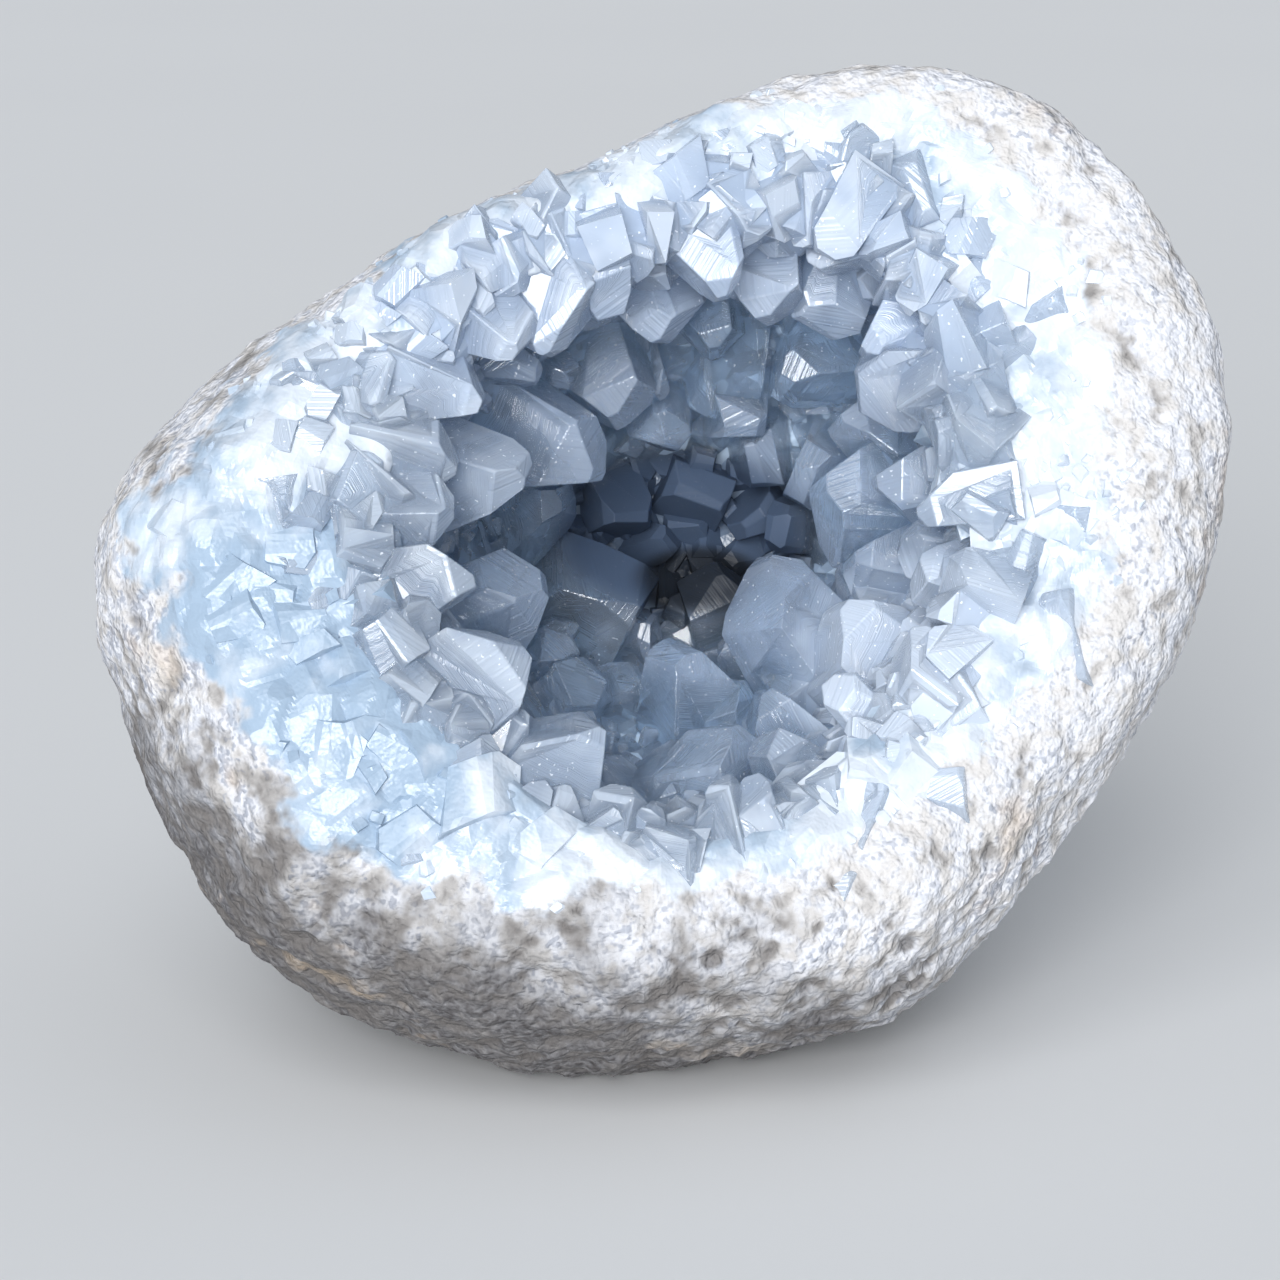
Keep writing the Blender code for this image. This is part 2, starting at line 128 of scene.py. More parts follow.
# Loose crystals grown over the layer: spacing and sizes in millimetres, how far they lean, how deep they sink as a
# share of their width, and a seed.
RIM_GROWTH = (4.4, 6.5, 12.0, 0.2, 0.46, 31)
SUGAR_GROWTH = (2.0, 1.6, 3.6, 0.5, 0.44, 32)
BROAD_GROWTH = (4.6, 8.0, 14.0, 0.2, 0.62, 34)
WALL_GROWTH = (4.6, 6.0, 11.0, 0.5, 0.34, 33)
SHARDS = 9
FLAT_PITCH = 0.42

# The places of the crystals are read across the face by an eye at this distance in front of it.
EYE = Vector((0, 0, 620))

# The main crystals: x, y of the middle, width, thickness, length, spin about its own axis in degrees, and its
# lean off the wall's own direction to the right and up.
CRYSTALS = (
    # Roof of the hollow, from its left end to the right.
    (-36, 34, 13, 11, 10, 70, 0, 0),
    (-26, 36, 10, 9, 10, 40, 0, 0),
    (-17, 40, 13, 11, 12, 10, 0, 0),
    (-9, 44, 12, 6, 10, 80, 0, 0),
    (-1, 40, 9, 8, 11, 30, 0, 0),
    (6, 47, 12, 9, 12, 0, 0, 0),
    (16, 44, 12, 10, 13, 20, 0, 0),
    (25, 42, 12, 11, 12, 50, 0, 0),
    (30, 50, 12, 10, 11, 20, 0, 0),
    (21, 53, 9, 8, 9, 60, 0, 0),
    (41, 47, 9, 8, 8, 0, 0, 0),
    (35, 38, 10, 8, 12, 10, 0, 0),
    (44, 34, 12, 9, 12, 50, 0, 0),
    (47, 37, 8, 7, 8, 30, 0, 0),
    # The second row of the roof, its teeth hanging over the dark hollow.
    (-33, 26, 10, 9, 10, 15, 0, 0),
    (-23, 30, 6, 5, 9, 0, 0, 0),
    (-18, 19, 13, 11, 22, 12, 0, -0.2),
    (-30, 13, 12, 10, 18, 35, 0.1, -0.2),
    (-8, 29, 11, 9, 16, 5, 0, 0),
    (0, 23, 8, 8, 13, 45, 0, 0),
    (-2, 30, 6, 5, 10, 20, 0, 0),
    (7, 37, 10, 8, 9, 0, 0, 0),
    (11, 30, 13, 9, 13, 65, 0, 0),
    (12, 23, 14, 9, 15, 85, 0, 0),
    (24, 30, 14, 11, 14, 5, 0, 0),
    (13, 18, 13, 10, 14, 30, 0, 0),
    (38, 28, 13, 11, 14, 75, 0, 0),
    # Right wall.
    (23, 16, 11, 10, 14, 55, 0, 0),
    (31, 12, 15, 12, 16, 20, -0.1, 0.1),
    (19, 7, 8, 7, 12, 70, 0, 0),
    (33, 20, 10, 8, 12, 30, 0, 0),
    (39, 13, 9, 8, 12, 0, 0, 0),
    (49, 19, 12, 9, 13, 40, -0.5, 0),
    (45, 10, 7, 6, 10, 0, 0, 0),
    (51, 9, 8, 7, 8, 30, 0, 0),
    (42, 3, 10, 8, 10, 60, 0, 0),
    (35, 3, 13, 10, 13, 20, 0, 0),
    (33, -2, 11, 9, 10, 0, 0, 0),
    (44, -1, 9, 8, 8, 30, 0, 0),
    (30, -12, 13, 12, 12, 15, 0, 0),
    # Floor, from the right end to the left.
    (20, -9, 14, 12, 22, 40, -0.1, 0.3),
    (21, -16, 9, 8, 12, 70, 0, 0),
    (9, -5, 9, 7, 14, 10, 0, 0.3),
    (4, -6, 5, 4, 10, 40, 0, 0),
    (5, -19, 13, 12, 17, 30, 0, 0),
    (10, -23, 9, 8, 10, 60, 0, 0),
    (19, -24, 10, 9, 11, 10, 0, 0),
    (9, -31, 15, 10, 11, 55, 0, 0),
    (20, -30, 9, 8, 9, 25, 0, 0),
    (1, -32, 9, 8, 9, 20, 0, 0),
    (-6, -40, 7, 6, 8, 60, 0, 0),
    (-7, -19, 10, 9, 9, 35, 0, 0),
    (-12, -19, 13, 8, 9, 80, 0, 0),
    (-14, -31, 15, 12, 13, 12, 0, 0),
    (-16, -14, 8, 6, 8, 50, 0, 0),
    (-16, -10, 5, 4, 8, 0, 0, 0),
    (-28, -19, 14, 11, 15, 5, 0, 0),
    # Left wall and the deep middle.
    (-10, -4, 14, 12, 17, 20, 0, 0),
    (-24, -6, 14, 11, 15, 45, 0, 0),
    (-19, 6, 14, 9, 12, 0, 0, 0),
    (-6, 10, 11, 9, 9, 20, 0, 0),
    (5, 10, 12, 10, 8, 50, 0, 0),
    (14, 10, 9, 8, 8, 10, 0, 0),
    (-39, 7, 9, 8, 12, 45, 0, 0),
    (-37, -4, 11, 8, 14, 0, 0.4, 0),
    (-40, -13, 12, 9, 11, 70, 0, 0),
    (-32, -25, 9, 7, 11, 20, 0, 0),
    # Crystals of the rim itself, mostly buried in the massive layer.
    (-50, 7, 14, 12, 11, 10, 0, 0),
    (-47, 22, 14, 12, 12, 30, 0.2, -0.3),
    (-58, 23, 10, 9, 8, 0, 0, 0),
    (-61, 9, 11, 9, 7, 50, 0, 0),
    (-51, -12, 13, 11, 8, 25, 0, 0),
    (-45, -27, 13, 10, 8, 60, 0, 0),
    (7, 54, 11, 9, 8, 30, 0, 0),
    (-5, 51, 9, 8, 8, 0, 0, 0),
    (37, 57, 12, 10, 8, 45, 0, 0),
    (30, 58, 9, 8, 7, 10, 0, 0),
    (-25, 44, 10, 8, 7, 30, 0, 0),
    (52, 27, 9, 8, 6, 15, 0, 0),
    (40, -16, 11, 9, 7, 35, 0, 0),
    (22, -37, 10, 8, 6, 15, 0, 0),
)

CROWDING = 1.3
ROOT_DEPTH = 6.0
OUTWARD_LEAN = -0.25
BROAD_SLOPE = (24, 50)
STEEP_SLOPE = (48, 70)
GABLE_SLOPE = (22, 54)
CORNER_TURN = (36, 54)
CORNERS_CUT = 0.45
SKEW = (-0.32, 0.32)
TAPER = (0.05, 0.28)
EDGE_WIDTH = 0.16
# Width of each face's border that is painted paler, as painted light along the crystals' edges.
EDGE_LIGHT = 1.0

SMALL_CRYSTALS = 8
SMALL_SEED = 11
SMALL_WIDTHS = (5.0, 8.0)
SMALL_LENGTHS = (7.0, 11.0)
RIM_CRYSTALS = 30
RIM_SEED = 5
RIM_WIDTHS = (7.0, 12.0)
RIM_LENGTHS = (2.0, 4.5)

# The camera looks straight into the face from the photograph's place, and this much of the face fills the view.
CAMERA_PLACE = Vector((-3.1, -11.7, 620))
VIEW_WIDTH = 199.4
SENSOR = 36.0


# Shapes


def around(values, angle):
    """Smooth values at some angles, through values spaced evenly round the circle."""
    values = np.asarray(values, float)
    place = (np.asarray(angle, float) % math.tau) / math.tau * len(values)
    i = place.astype(int)
    t = place - i
    before, a, b, after = (values[(i + k) % len(values)] for k in (-1, 0, 1, 2))
    slope_a, slope_b = (b - before) / 2, (after - a) / 2
    return (
        a * (1 + 2 * t) * (1 - t) ** 2
        + b * t * t * (3 - 2 * t)
        + slope_a * t * (1 - t) ** 2
        - slope_b * t * t * (1 - t)
    )


def step(value, low, high):
    """0 below low and 1 above high, with a smooth rise between, or a fall where low is the larger."""
    t = np.clip((value - low) / (high - low), 0, 1)
    return t * t * (3 - 2 * t)


def polar(angle, radius, h):
    x, y, h = np.broadcast_arrays(radius * np.cos(angle), radius * np.sin(angle), h)
    return np.stack((x, y, h), axis=-1).astype(float)


def rim_slope(points):
    """Height of the rim's slope over the widest section, at the points' places across the face."""
    return RIM_HEIGHT - RIM_FALL_RIGHT * points[..., 0] - RIM_FALL_UP * points[..., 1]


def nearer(radius, h):
    """The real radius of what an eye in front reads at this radius, at height h."""
    return radius * (EYE.z - h) / EYE.z


def crest(angle):
    """Radius and height of the top of the rim, where rind and crust meet."""
    lip_radius, edge = around(LIP, angle), around(OUTLINE, angle)
    radius = lip_radius + CREST_SHARE * (edge - lip_radius)
    height = rim_slope(polar(angle, radius, 0))
    return nearer(radius, height), height


def lip(angle):
    """Radius and height of the edge of the hollow."""
    radius = around(LIP, angle)
    height = rim_slope(polar(angle, radius, 0)) - LIP_DROP
    return nearer(radius, height), height


def quarter(share):
    """Cosine and sine over a quarter turn, for shares from 0 to 1."""
    turn = share * math.pi / 2
    return np.maximum(np.cos(turn), 0), np.sin(turn)


def back(angle, share):
    """The outer skin from the widest section, share 0, to the back pole, share 1, and how it faces."""
    out, down = quarter(share)
    lower = np.maximum(0, -np.sin(angle))
    squareness = BACK_SQUARENESS - BELLY_SQUARENESS * lower
    point = polar(angle, around(OUTLINE, angle) * out**squareness, -BACK_DEPTH * down)
    facing = polar(angle, out, -down)
    return point, facing, facing


def flank(angle, share):
    """The outer skin from the widest section to the crest of the rim."""
    out, up = quarter(share)
    crest_radius, crest_height = crest(angle)
    radius = crest_radius + (around(OUTLINE, angle) - crest_radius) * out
    facing = polar(angle, out, up)
    return polar(angle, radius, crest_height * up), facing, facing


def rim(angle, share):
    """The top of the crust from the crest to the lip. Its fine relief turns inwards on the way."""
    inward, out = np.sin(share * math.pi / 2), np.cos(share * math.pi / 2)
    (crest_radius, crest_height), (lip_radius, lip_height) = crest(angle), lip(angle)
    radius = crest_radius + (lip_radius - crest_radius) * inward
    point = polar(angle, radius, crest_height + (lip_height - crest_height) * (1 - out))
    return point, polar(angle, 0 * share, 1), polar(angle, -0.7 * inward, 1 - 0.3 * inward)


def seat(angle, share, gap=0.0):
    """The hidden surface between crust and rind, from the crest to its pole, moved out by a gap."""
    out, down = quarter(share)
    crest_radius, crest_height = crest(angle)
    radius = (crest_radius + gap * step(share, 0, 0.1)) * out**SEAT_SQUARENESS
    height = crest_height - (crest_height + SEAT_DEPTH + gap) * down
    facing = polar(angle, 0 * share, 1 - down)
    return polar(angle, radius, height), facing, facing


def hollow(angle, share):
    """The wall of the hollow under its crystals, from the lip to its deepest point."""
    out, down = quarter(share)
    lip_radius, lip_height = lip(angle)
    point = polar(angle, lip_radius * out**HOLLOW_SQUARENESS, 0)
    point[..., 2] = lip_height - (lip_height + HOLLOW_DEPTH) * down**HOLLOW_FUNNEL
    point[..., 0] += HOLLOW_MIDDLE[0] * down
    point[..., 1] += HOLLOW_MIDDLE[1] * down
    return point, polar(angle, 0 * share, out), polar(angle, -0.7 * np.sqrt(out), 0.7 + 0.3 * down)


def sampled(function, points, width, *options):
    """A noise function at each point, with features of about this width."""
    return np.array([function(Vector(point), *options) for point in points / width])


def lump(points):
    """How far the weathered skin stands out at each point, as on the solids."""
    broad = sampled(noise.noise, points, BROAD_WIDTH)
    small = sampled(noise.fractal, points, SMALL_WIDTH, 1.0, 2.0, 2)
    pitted = np.zeros(len(points))
    for x, y, radius, depth in PITS:
        off = np.hypot(points[:, 0] - x, points[:, 1] - y) / radius
        pitted += np.where(points[:, 2] > 0, depth * np.exp(-off * off), 0)
    return BROAD_LUMP * broad + SMALL_LUMP * small - pitted


def unit(vectors):
    return vectors / np.maximum(np.linalg.norm(vectors, axis=-1, keepdims=True), 1e-9)


class Druse:
    """The small crystals that stand in the massive layer, as the highest of many four-sided tips at each point."""

    def __init__(self):
        chance = np.random.default_rng(DRUSE_SEED)
        spots, facings = [], []
        for stage, start, end in ((flank, 0.2, 1.0), (rim, 0.0, 1.0), (hollow, 0.0, 1.0)):
            angle = chance.uniform(0, math.tau, 6000)
            point, facing, turned = stage(angle, chance.uniform(start, end, 6000))
            spots.append(point + facing * lump(point)[:, None])
            facings.append(unit(turned))
        spots, facings = np.concatenate(spots), np.concatenate(facings)
        order = chance.permutation(len(spots))
        kept = []
        cells = {}
        for index in order:
            spot = spots[index]
            cell = tuple((spot // DRUSE_SPACING).astype(int))
            near = [
                spots[other]
                for i in (-1, 0, 1)
                for j in (-1, 0, 1)
                for k in (-1, 0, 1)
                for other in cells.get((cell[0] + i, cell[1] + j, cell[2] + k), ())
            ]
            if near and np.min(np.linalg.norm(np.array(near) - spot, axis=1)) < 0.72 * DRUSE_SPACING:
                continue
            cells.setdefault(cell, []).append(index)
            kept.append(index)
        self.spots = spots[kept]
        count = len(kept)
        facing = unit(facings[kept] + chance.normal(0, DRUSE_TILT, (count, 3)) * 0.4)
        across = unit(np.cross(facing, chance.normal(0, 1, (count, 3))))
        self.axes = across, np.cross(facing, across)
        self.tips = chance.uniform(*DRUSE_HEIGHT, count)
        self.slopes = chance.uniform(*DRUSE_SLOPE, (4, count))
        self.tilts = chance.normal(0, DRUSE_TILT, (2, count))
        self.tree = kdtree.KDTree(count)
        for number, spot in enumerate(self.spots):
            self.tree.insert(spot, number)
        self.tree.balance()

    def height(self, points):
        """Height of the druse at each point, over the layer's own surface."""
        near = np.array([[hit[1] for hit in self.tree.find_n(point, 6)] for point in points])
        off = points[:, None, :] - self.spots[near]
        u = np.sum(off * self.axes[0][near], axis=2)
        v = np.sum(off * self.axes[1][near], axis=2)
        side_u = np.where(u > 0, self.slopes[0][near], self.slopes[1][near])
        side_v = np.where(v > 0, self.slopes[2][near], self.slopes[3][near])
        tip = self.tips[near]
        pyramid = tip - np.maximum(np.abs(u) * side_u, np.abs(v) * side_v)
        top = 0.7 * tip + u * self.tilts[0][near] + v * self.tilts[1][near]
        return np.maximum(np.min(np.stack((pyramid, top)), axis=0).max(axis=1), -1.0)


druse = Druse()


def crystal_share(points, angle, way):
    """How crystalline the surface is at points this far along the way from lip to outline."""
    ragged = 0.16 * sampled(noise.noise, points, 15.0) + 0.08 * sampled(noise.noise, points, 5.0)
    return step(way + ragged, around(CRYSTAL_REACH, angle) + 0.12, around(CRYSTAL_REACH, angle) - 0.12)


def stone_relief(points):
    """Fine relief of the bare stone: roughness, grit and pits, rougher on the underside."""
    under = step(points[:, 1] + 0.4 * points[:, 2], -10, -55)
    rough = sampled(noise.fractal, points, ROUGH_WIDTH, 0.9, 2.1, 3)
    grit = sampled(noise.noise, points, GRIT_WIDTH)
    pits = sampled(lambda point: noise.voronoi(point)[0][0], points, PIT_WIDTH)
    patch = step(sampled(noise.noise, points + 40.0, 19.0), -0.1, 0.25)
    pitted = PIT_DEPTH * step(pits, 0.34, 0.12) * patch
    return (1 + 0.7 * under) * (ROUGH * rough + GRIT * grit) - (0.4 + under) * pitted


def grid_shape(name, stages, segments):
    """A closed mesh of rings that follow the stages in turn, from pole to pole, with fine relief and its masks."""
    rings = sum(stage[1] for stage in stages)
    ring = np.concatenate(([0], np.repeat(np.arange(1, rings), segments), [rings]))
    turns = np.tile(np.arange(segments) / segments * math.tau, rings - 1)
    angle = np.concatenate(([0.0], turns, [0.0]))
    place = np.zeros((len(ring), 3))
    crystal = np.zeros(len(ring))
    height = np.zeros(len(ring))
    starts = np.cumsum([0] + [stage[1] for stage in stages])
    # The hidden stages come first, so that a ring that two stages share keeps its relief.
    for first, (shape, count, start, end, way) in sorted(zip(starts, stages), key=lambda pair: pair[1][4] is not None):
        here = (ring >= first) & (ring <= first + count)
        share = start + (end - start) * (ring[here] - first) / count
        point, facing, turned = shape(angle[here], share)
        point = point + facing * lump(point)[:, None]
        if way is not None:
            mask = crystal_share(point, angle[here], way(share))
            icy, stony = mask > 0, mask < 1
            stood = np.zeros(len(point))
            stood[stony] += (1 - mask[stony]) * stone_relief(point[stony])
            stood[icy] += mask[icy] * druse.height(point[icy])
            point = point + unit(turned) * stood[:, None]
            crystal[here], height[here] = mask, stood
        place[here] = point

    low = 1 + segments * np.arange(rings - 2)[:, None] + np.arange(segments)[None, :]
    beside = 1 + segments * np.arange(rings - 2)[:, None] + (np.arange(segments)[None, :] + 1) % segments
    quads = np.stack((low, beside, beside + segments, low + segments), axis=-1).reshape(-1, 4)
    last = len(ring) - 1
    edge = np.arange(segments)
    following = (edge + 1) % segments
    final = 1 + segments * (rings - 2)
    faces = [(0, 1 + b, 1 + a) for a, b in zip(edge, following)]
    faces += [(final + a, final + b, last) for a, b in zip(edge, following)]
    mesh = bpy.data.meshes.new(name)
    mesh.from_pydata(place, [], quads.tolist() + faces)
    for key, values in (("crystal", crystal), ("relief", height)):
        mesh.attributes.new(key, "FLOAT", "POINT").data.foreach_set("value", values.astype(np.float32))

    # Crystal faces stay flat, and the crest, where the piece turns under, stays sharp.
    faceted = crystal > 0.5
    first_corners = np.array([face.vertices[0] for face in mesh.polygons])
    mesh.attributes.new("sharp_face", "BOOLEAN", "FACE").data.foreach_set("value", faceted[first_corners])
    ends = np.zeros(len(mesh.edges) * 2, np.int32)
    mesh.edges.foreach_get("vertices", ends)
    ring_ends = ring[ends.reshape(-1, 2)]
    hidden = [stage[4] is None for stage in stages]
    crest_rings = [starts[n] for n in range(1, len(stages)) if hidden[n] != hidden[n - 1]]
    shared = (ring_ends[:, 0] == ring_ends[:, 1]) & np.isin(ring_ends[:, 0], crest_rings)
    mesh.attributes.new("sharp_edge", "BOOLEAN", "EDGE").data.foreach_set("value", shared)
    mesh.transform(TO_WORLD)
    return mesh


def flank_way(share):
    return CREST_SHARE + (1 - CREST_SHARE) * np.cos(share * math.pi / 2)


def rim_way(share):
    return CREST_SHARE * (1 - np.sin(share * math.pi / 2))


def wall_way(share):
    return -share


def skin_mesh():
    """The rind: the rough outer skin, and its hidden seat."""

    def own_seat(angle, share):
        return seat(angle, share, SEAT_GAP / 2)

    mesh = grid_shape(
        "stone_skin",
        (
            (back, BACK_ROWS, 1, 0, lambda share: 1 + share),
            (flank, FLANK_ROWS, 0, 1, flank_way),
            (own_seat, SEAT_ROWS, 0, 1, None),
        ),
        SEGMENTS,
    )
    place = np.zeros(len(mesh.vertices) * 3, np.float32)
    mesh.vertices.foreach_get("co", place)
    place.reshape(-1, 3)[:, 2] = np.maximum(place.reshape(-1, 3)[:, 2], 0)
    mesh.vertices.foreach_set("co", place)
    return mesh


def layer_mesh():
    """The massive layer: its hidden back, the rim and the wall of the hollow."""

    def own_seat(angle, share):
        return seat(angle, share, -SEAT_GAP / 2)

    return grid_shape(
        "massive_layer",
        (
            (own_seat, SEAT_ROWS, 1, 0, None),
            (rim, RIM_ROWS, 0, 1, rim_way),
            (hollow, WALL_ROWS, 0, 1, wall_way),
        ),
        SEGMENTS,
    )


# Crystals


def cut(shell, point, normal):
    """Cuts a closed convex mesh by a plane and caps it."""
    whole = list(shell.verts) + list(shell.edges) + list(shell.faces)
    bmesh.ops.bisect_plane(shell, geom=whole, plane_co=point, plane_no=normal, clear_outer=True)
    open_edges = [edge for edge in shell.edges if edge.is_boundary]
    if open_edges:
        bmesh.ops.edgeloop_fill(shell, edges=open_edges)


def crystal_shell(width, thickness, length, seed, root=ROOT_DEPTH, pitch=1.0):
    """A blocky prism along +Z with a slanting roof, two gables and some of its corners cut off."""
    chance = random.Random(seed)
    shell = bmesh.new()
    bmesh.ops.create_cube(shell, size=1)
    tall = length + root
    bmesh.ops.scale(shell, vec=(width, thickness, tall), verts=shell.verts)
    bmesh.ops.translate(shell, vec=(0, 0, tall / 2 - root), verts=shell.verts)
    skew, taper = chance.uniform(*SKEW), chance.uniform(*TAPER)
    for vert in shell.verts:
        narrowing = 1 - taper * max(vert.co.z, 0) / length
        vert.co.x = vert.co.x * narrowing + skew * vert.co.y
        vert.co.y *= narrowing
    ridge = chance.uniform(-0.22, 0.22) * width
    for side, slopes in ((1, BROAD_SLOPE), (-1, STEEP_SLOPE)):
        slope = math.radians(chance.uniform(*slopes)) * pitch
        normal = Vector((side * math.sin(slope), chance.uniform(-0.12, 0.12), math.cos(slope)))
        cut(shell, Vector((ridge + side * 0.06 * width, 0, length)), normal)
        slope = math.radians(chance.uniform(*GABLE_SLOPE)) * pitch
        normal = Vector((chance.uniform(-0.1, 0.1), side * math.cos(slope), math.sin(slope)))
        cut(shell, Vector((0, side * 0.42 * thickness, length * 0.78)), normal)
    for quadrant in range(4):
        if chance.random() < CORNERS_CUT:
            turn = math.radians(90 * quadrant + chance.uniform(*CORNER_TURN))
            normal = Vector((math.cos(turn), math.sin(turn), chance.uniform(0.05, 0.25)))
            corner = Vector((math.copysign(width, normal.x), math.copysign(thickness, normal.y), length)) / 2
            cut(shell, corner * chance.uniform(0.72, 0.88), normal)
    return shell


def marked(mesh, tint, width):
    """Stores the crystal's tint, and each point's place across it in millimetres, for its streaks."""
    across = np.zeros(len(mesh.vertices) * 3, np.float32)
    mesh.vertices.foreach_get("co", across)
    across = across.reshape(-1, 3) @ np.array((0.9, 0.43, 0.06)) * width + 40 * tint
    for key, values in (("tint", np.full(len(across), tint)), ("across", across)):
        mesh.attributes.new(key, "FLOAT", "POINT").data.foreach_set("value", values.astype(np.float32))


def edged_mesh(name, shell, reach):
    """The shell as a mesh, whose faces have a border of up to this width, and an attribute that is 1 on the edges."""
    middles = []
    for face in list(shell.faces):
        shortest = min(edge.calc_length() for edge in face.edges)
        thickness = min(reach, 0.25 * shortest, 0.12 * math.sqrt(face.calc_area()))
        if thickness > 0.2 * reach:
            bmesh.ops.inset_individual(shell, faces=[face], thickness=thickness, use_even_offset=True)
            middles.append(face)
    inner = {vert for face in middles for vert in face.verts}
    layer = shell.verts.layers.float.new("edge")
    for vert in shell.verts:
        vert[layer] = 0.0 if vert in inner else 1.0
    mesh = bpy.data.meshes.new(name)
    shell.to_mesh(mesh)
    shell.free()
    return mesh


def crystal_mesh(name, width, thickness, length, seed):
    """A crystal whose edges are finely bevelled, with its own place along it and a tint of its own."""
    shell = crystal_shell(width, thickness, length, seed)
    bmesh.ops.dissolve_degenerate(shell, dist=0.05, edges=shell.edges)
    bmesh.ops.bevel(
        shell,
        geom=list(shell.edges),
        offset=EDGE_WIDTH,
        offset_type="OFFSET",
        segments=1,
        profile=0.5,
        affect="EDGES",
        clamp_overlap=True,
    )
    bmesh.ops.recalc_face_normals(shell, faces=shell.faces)
    mesh = edged_mesh(name, shell, EDGE_LIGHT)
    marked(mesh, random.Random(seed + 500).random(), 1.0)
    return mesh


def tree_of(mesh):
    """A surface for casting rays at."""
    return BVHTree.FromPolygons([vert.co for vert in mesh.vertices], [face.vertices for face in mesh.polygons])


def read_place(surface, x, y):
    """Where the eye meets a surface at this place across the face, or comes nearest to it, and how it faces there."""
    sight = Vector((x, y, 0)) - EYE
    point, facing, _, _ = surface.ray_cast(EYE, sight)
    if point is None:
        point, facing, _, _ = surface.find_nearest(EYE + sight * (1 - RIM_HEIGHT / EYE.z))
    return point, facing


def plant(surface, number, row):
    """One crystal, rooted where its middle shows at the place that its row gives."""
    x, y, width, thickness, length, spin, lean_x, lean_y = row
    width, thickness = width * CROWDING, thickness * CROWDING
    point, facing = read_place(surface, x, y)
    axis = (facing + Vector((lean_x, lean_y, OUTWARD_LEAN))).normalized()
    shift = axis.xy * (length * 0.5)
    point, _ = read_place(surface, x - shift.x, y - shift.y)
    name = f"crystal_{number:03d}"
    obj = bpy.data.objects.new(name, crystal_mesh(name, width, thickness, length, number))
    turned = axis.to_track_quat("Z", "Y").to_matrix() @ Matrix.Rotation(math.radians(spin), 3, "Z")
    obj.data.transform(Matrix.LocRotScale(point, turned, None))
    slope = Vector((RIM_FALL_RIGHT, RIM_FALL_UP, 1))
    proud = max(vert.co.dot(slope) for vert in obj.data.vertices) - RIM_HEIGHT - CRYSTALS_PROUD
    if proud > 0:
        obj.data.transform(Matrix.Translation((0, 0, -proud)))
    return obj


def small_rows(taken):
    """Rows for small crystals, dropped at random into the gaps between those that are there."""
    chance = random.Random(SMALL_SEED)
    rows = []
    places = [(row[0], row[1], row[2]) for row in taken]
    while len(rows) < SMALL_CRYSTALS:
        angle = chance.uniform(0, math.tau)
        radius = float(around(LIP, angle)) * math.sqrt(chance.random())
        x, y = radius * math.cos(angle), radius * math.sin(angle)
        width = chance.uniform(*SMALL_WIDTHS)
        if any(math.hypot(x - a, y - b) < 0.42 * (w + width) for a, b, w in places):
            continue
        length = chance.uniform(*SMALL_LENGTHS)
        rows.append((x, y, width, width * 0.85, length, chance.uniform(0, 90), 0, 0))
        places.append((x, y, width))
    return rows


def rim_rows():
    """Rows for the crystals of the rim, spread evenly round it and at random across it."""
    chance = random.Random(RIM_SEED)
    rows = []
    for number in range(RIM_CRYSTALS):
        angle = (number + chance.uniform(-0.3, 0.3)) / RIM_CRYSTALS * math.tau
        edge, outer = float(around(LIP, angle)), float(around(OUTLINE, angle))
        across = (0.06, 0.3)[number % 2] + chance.uniform(-0.04, 0.08)
        radius = edge + across * (outer - edge)
        width = chance.uniform(*RIM_WIDTHS)
        lean = -0.4 * Vector((math.cos(angle), math.sin(angle)))
        length = chance.uniform(*RIM_LENGTHS)
        thickness = width * chance.uniform(0.7, 1)
        spin = chance.uniform(0, 90)
        rows.append(
            (radius * math.cos(angle), radius * math.sin(angle), width, thickness, length, spin, lean.x, lean.y)
        )
    return rows


def plain_crust():
    """The rim and the wall of the hollow without relief, that the crystals are rooted in, in the face frame."""
    mesh = bpy.data.meshes.new("plain_crust")
    angles = np.linspace(0, math.tau, 97)[:-1]
    rows = [rim(angles, np.full(96, share)) for share in (0, 0.33, 0.67)]
    rows += [hollow(angles, np.full(96, share)) for share in np.linspace(0, 1, 22)]
    points = np.concatenate([point + facing * lump(point)[:, None] for point, facing, _ in rows])
    faces = [
        (96 * row + i, 96 * row + (i + 1) % 96, 96 * row + 96 + (i + 1) % 96, 96 * row + 96 + i)
        for row in range(len(rows) - 1)
        for i in range(96)
    ]
    mesh.from_pydata([tuple(point) for point in points], [], faces)
    return mesh


def evaluated(obj, name):
    """The object's mesh as its modifiers leave it."""
    bpy.context.view_layer.update()
    graph = bpy.context.evaluated_depsgraph_get()
    mesh = bpy.data.meshes.new_from_object(obj.evaluated_get(graph))
    mesh.name = name
    return mesh


def grown_together(name, crystals):
    """The crystals joined into one solid, without the voids sealed in between them."""
    loose = bpy.data.collections.new("loose_crystals")
    bpy.context.scene.collection.children.link(loose)
    first, others = crystals[0], crystals[1:]
    bpy.context.scene.collection.objects.link(first)
    for obj in others:
        loose.objects.link(obj)
    join = first.modifiers.new("join", "BOOLEAN")
    join.operation = "UNION"
    join.solver = "MANIFOLD"
    join.operand_type = "COLLECTION"
    join.collection = loose
    mesh = evaluated(first, name)
    for obj in crystals:
        bpy.data.objects.remove(obj)
    bpy.data.collections.remove(loose)
    return mesh


def main_crystals():
    """All the main crystals, joined, in the face frame."""
    surface = tree_of(plain_crust())
    rows = list(CRYSTALS)
    rows += small_rows(rows)
    rows += rim_rows()
    return grown_together("main_crystals", [plant(surface, number, row) for number, row in enumerate(rows)])


# Loose crystals grown over the layer


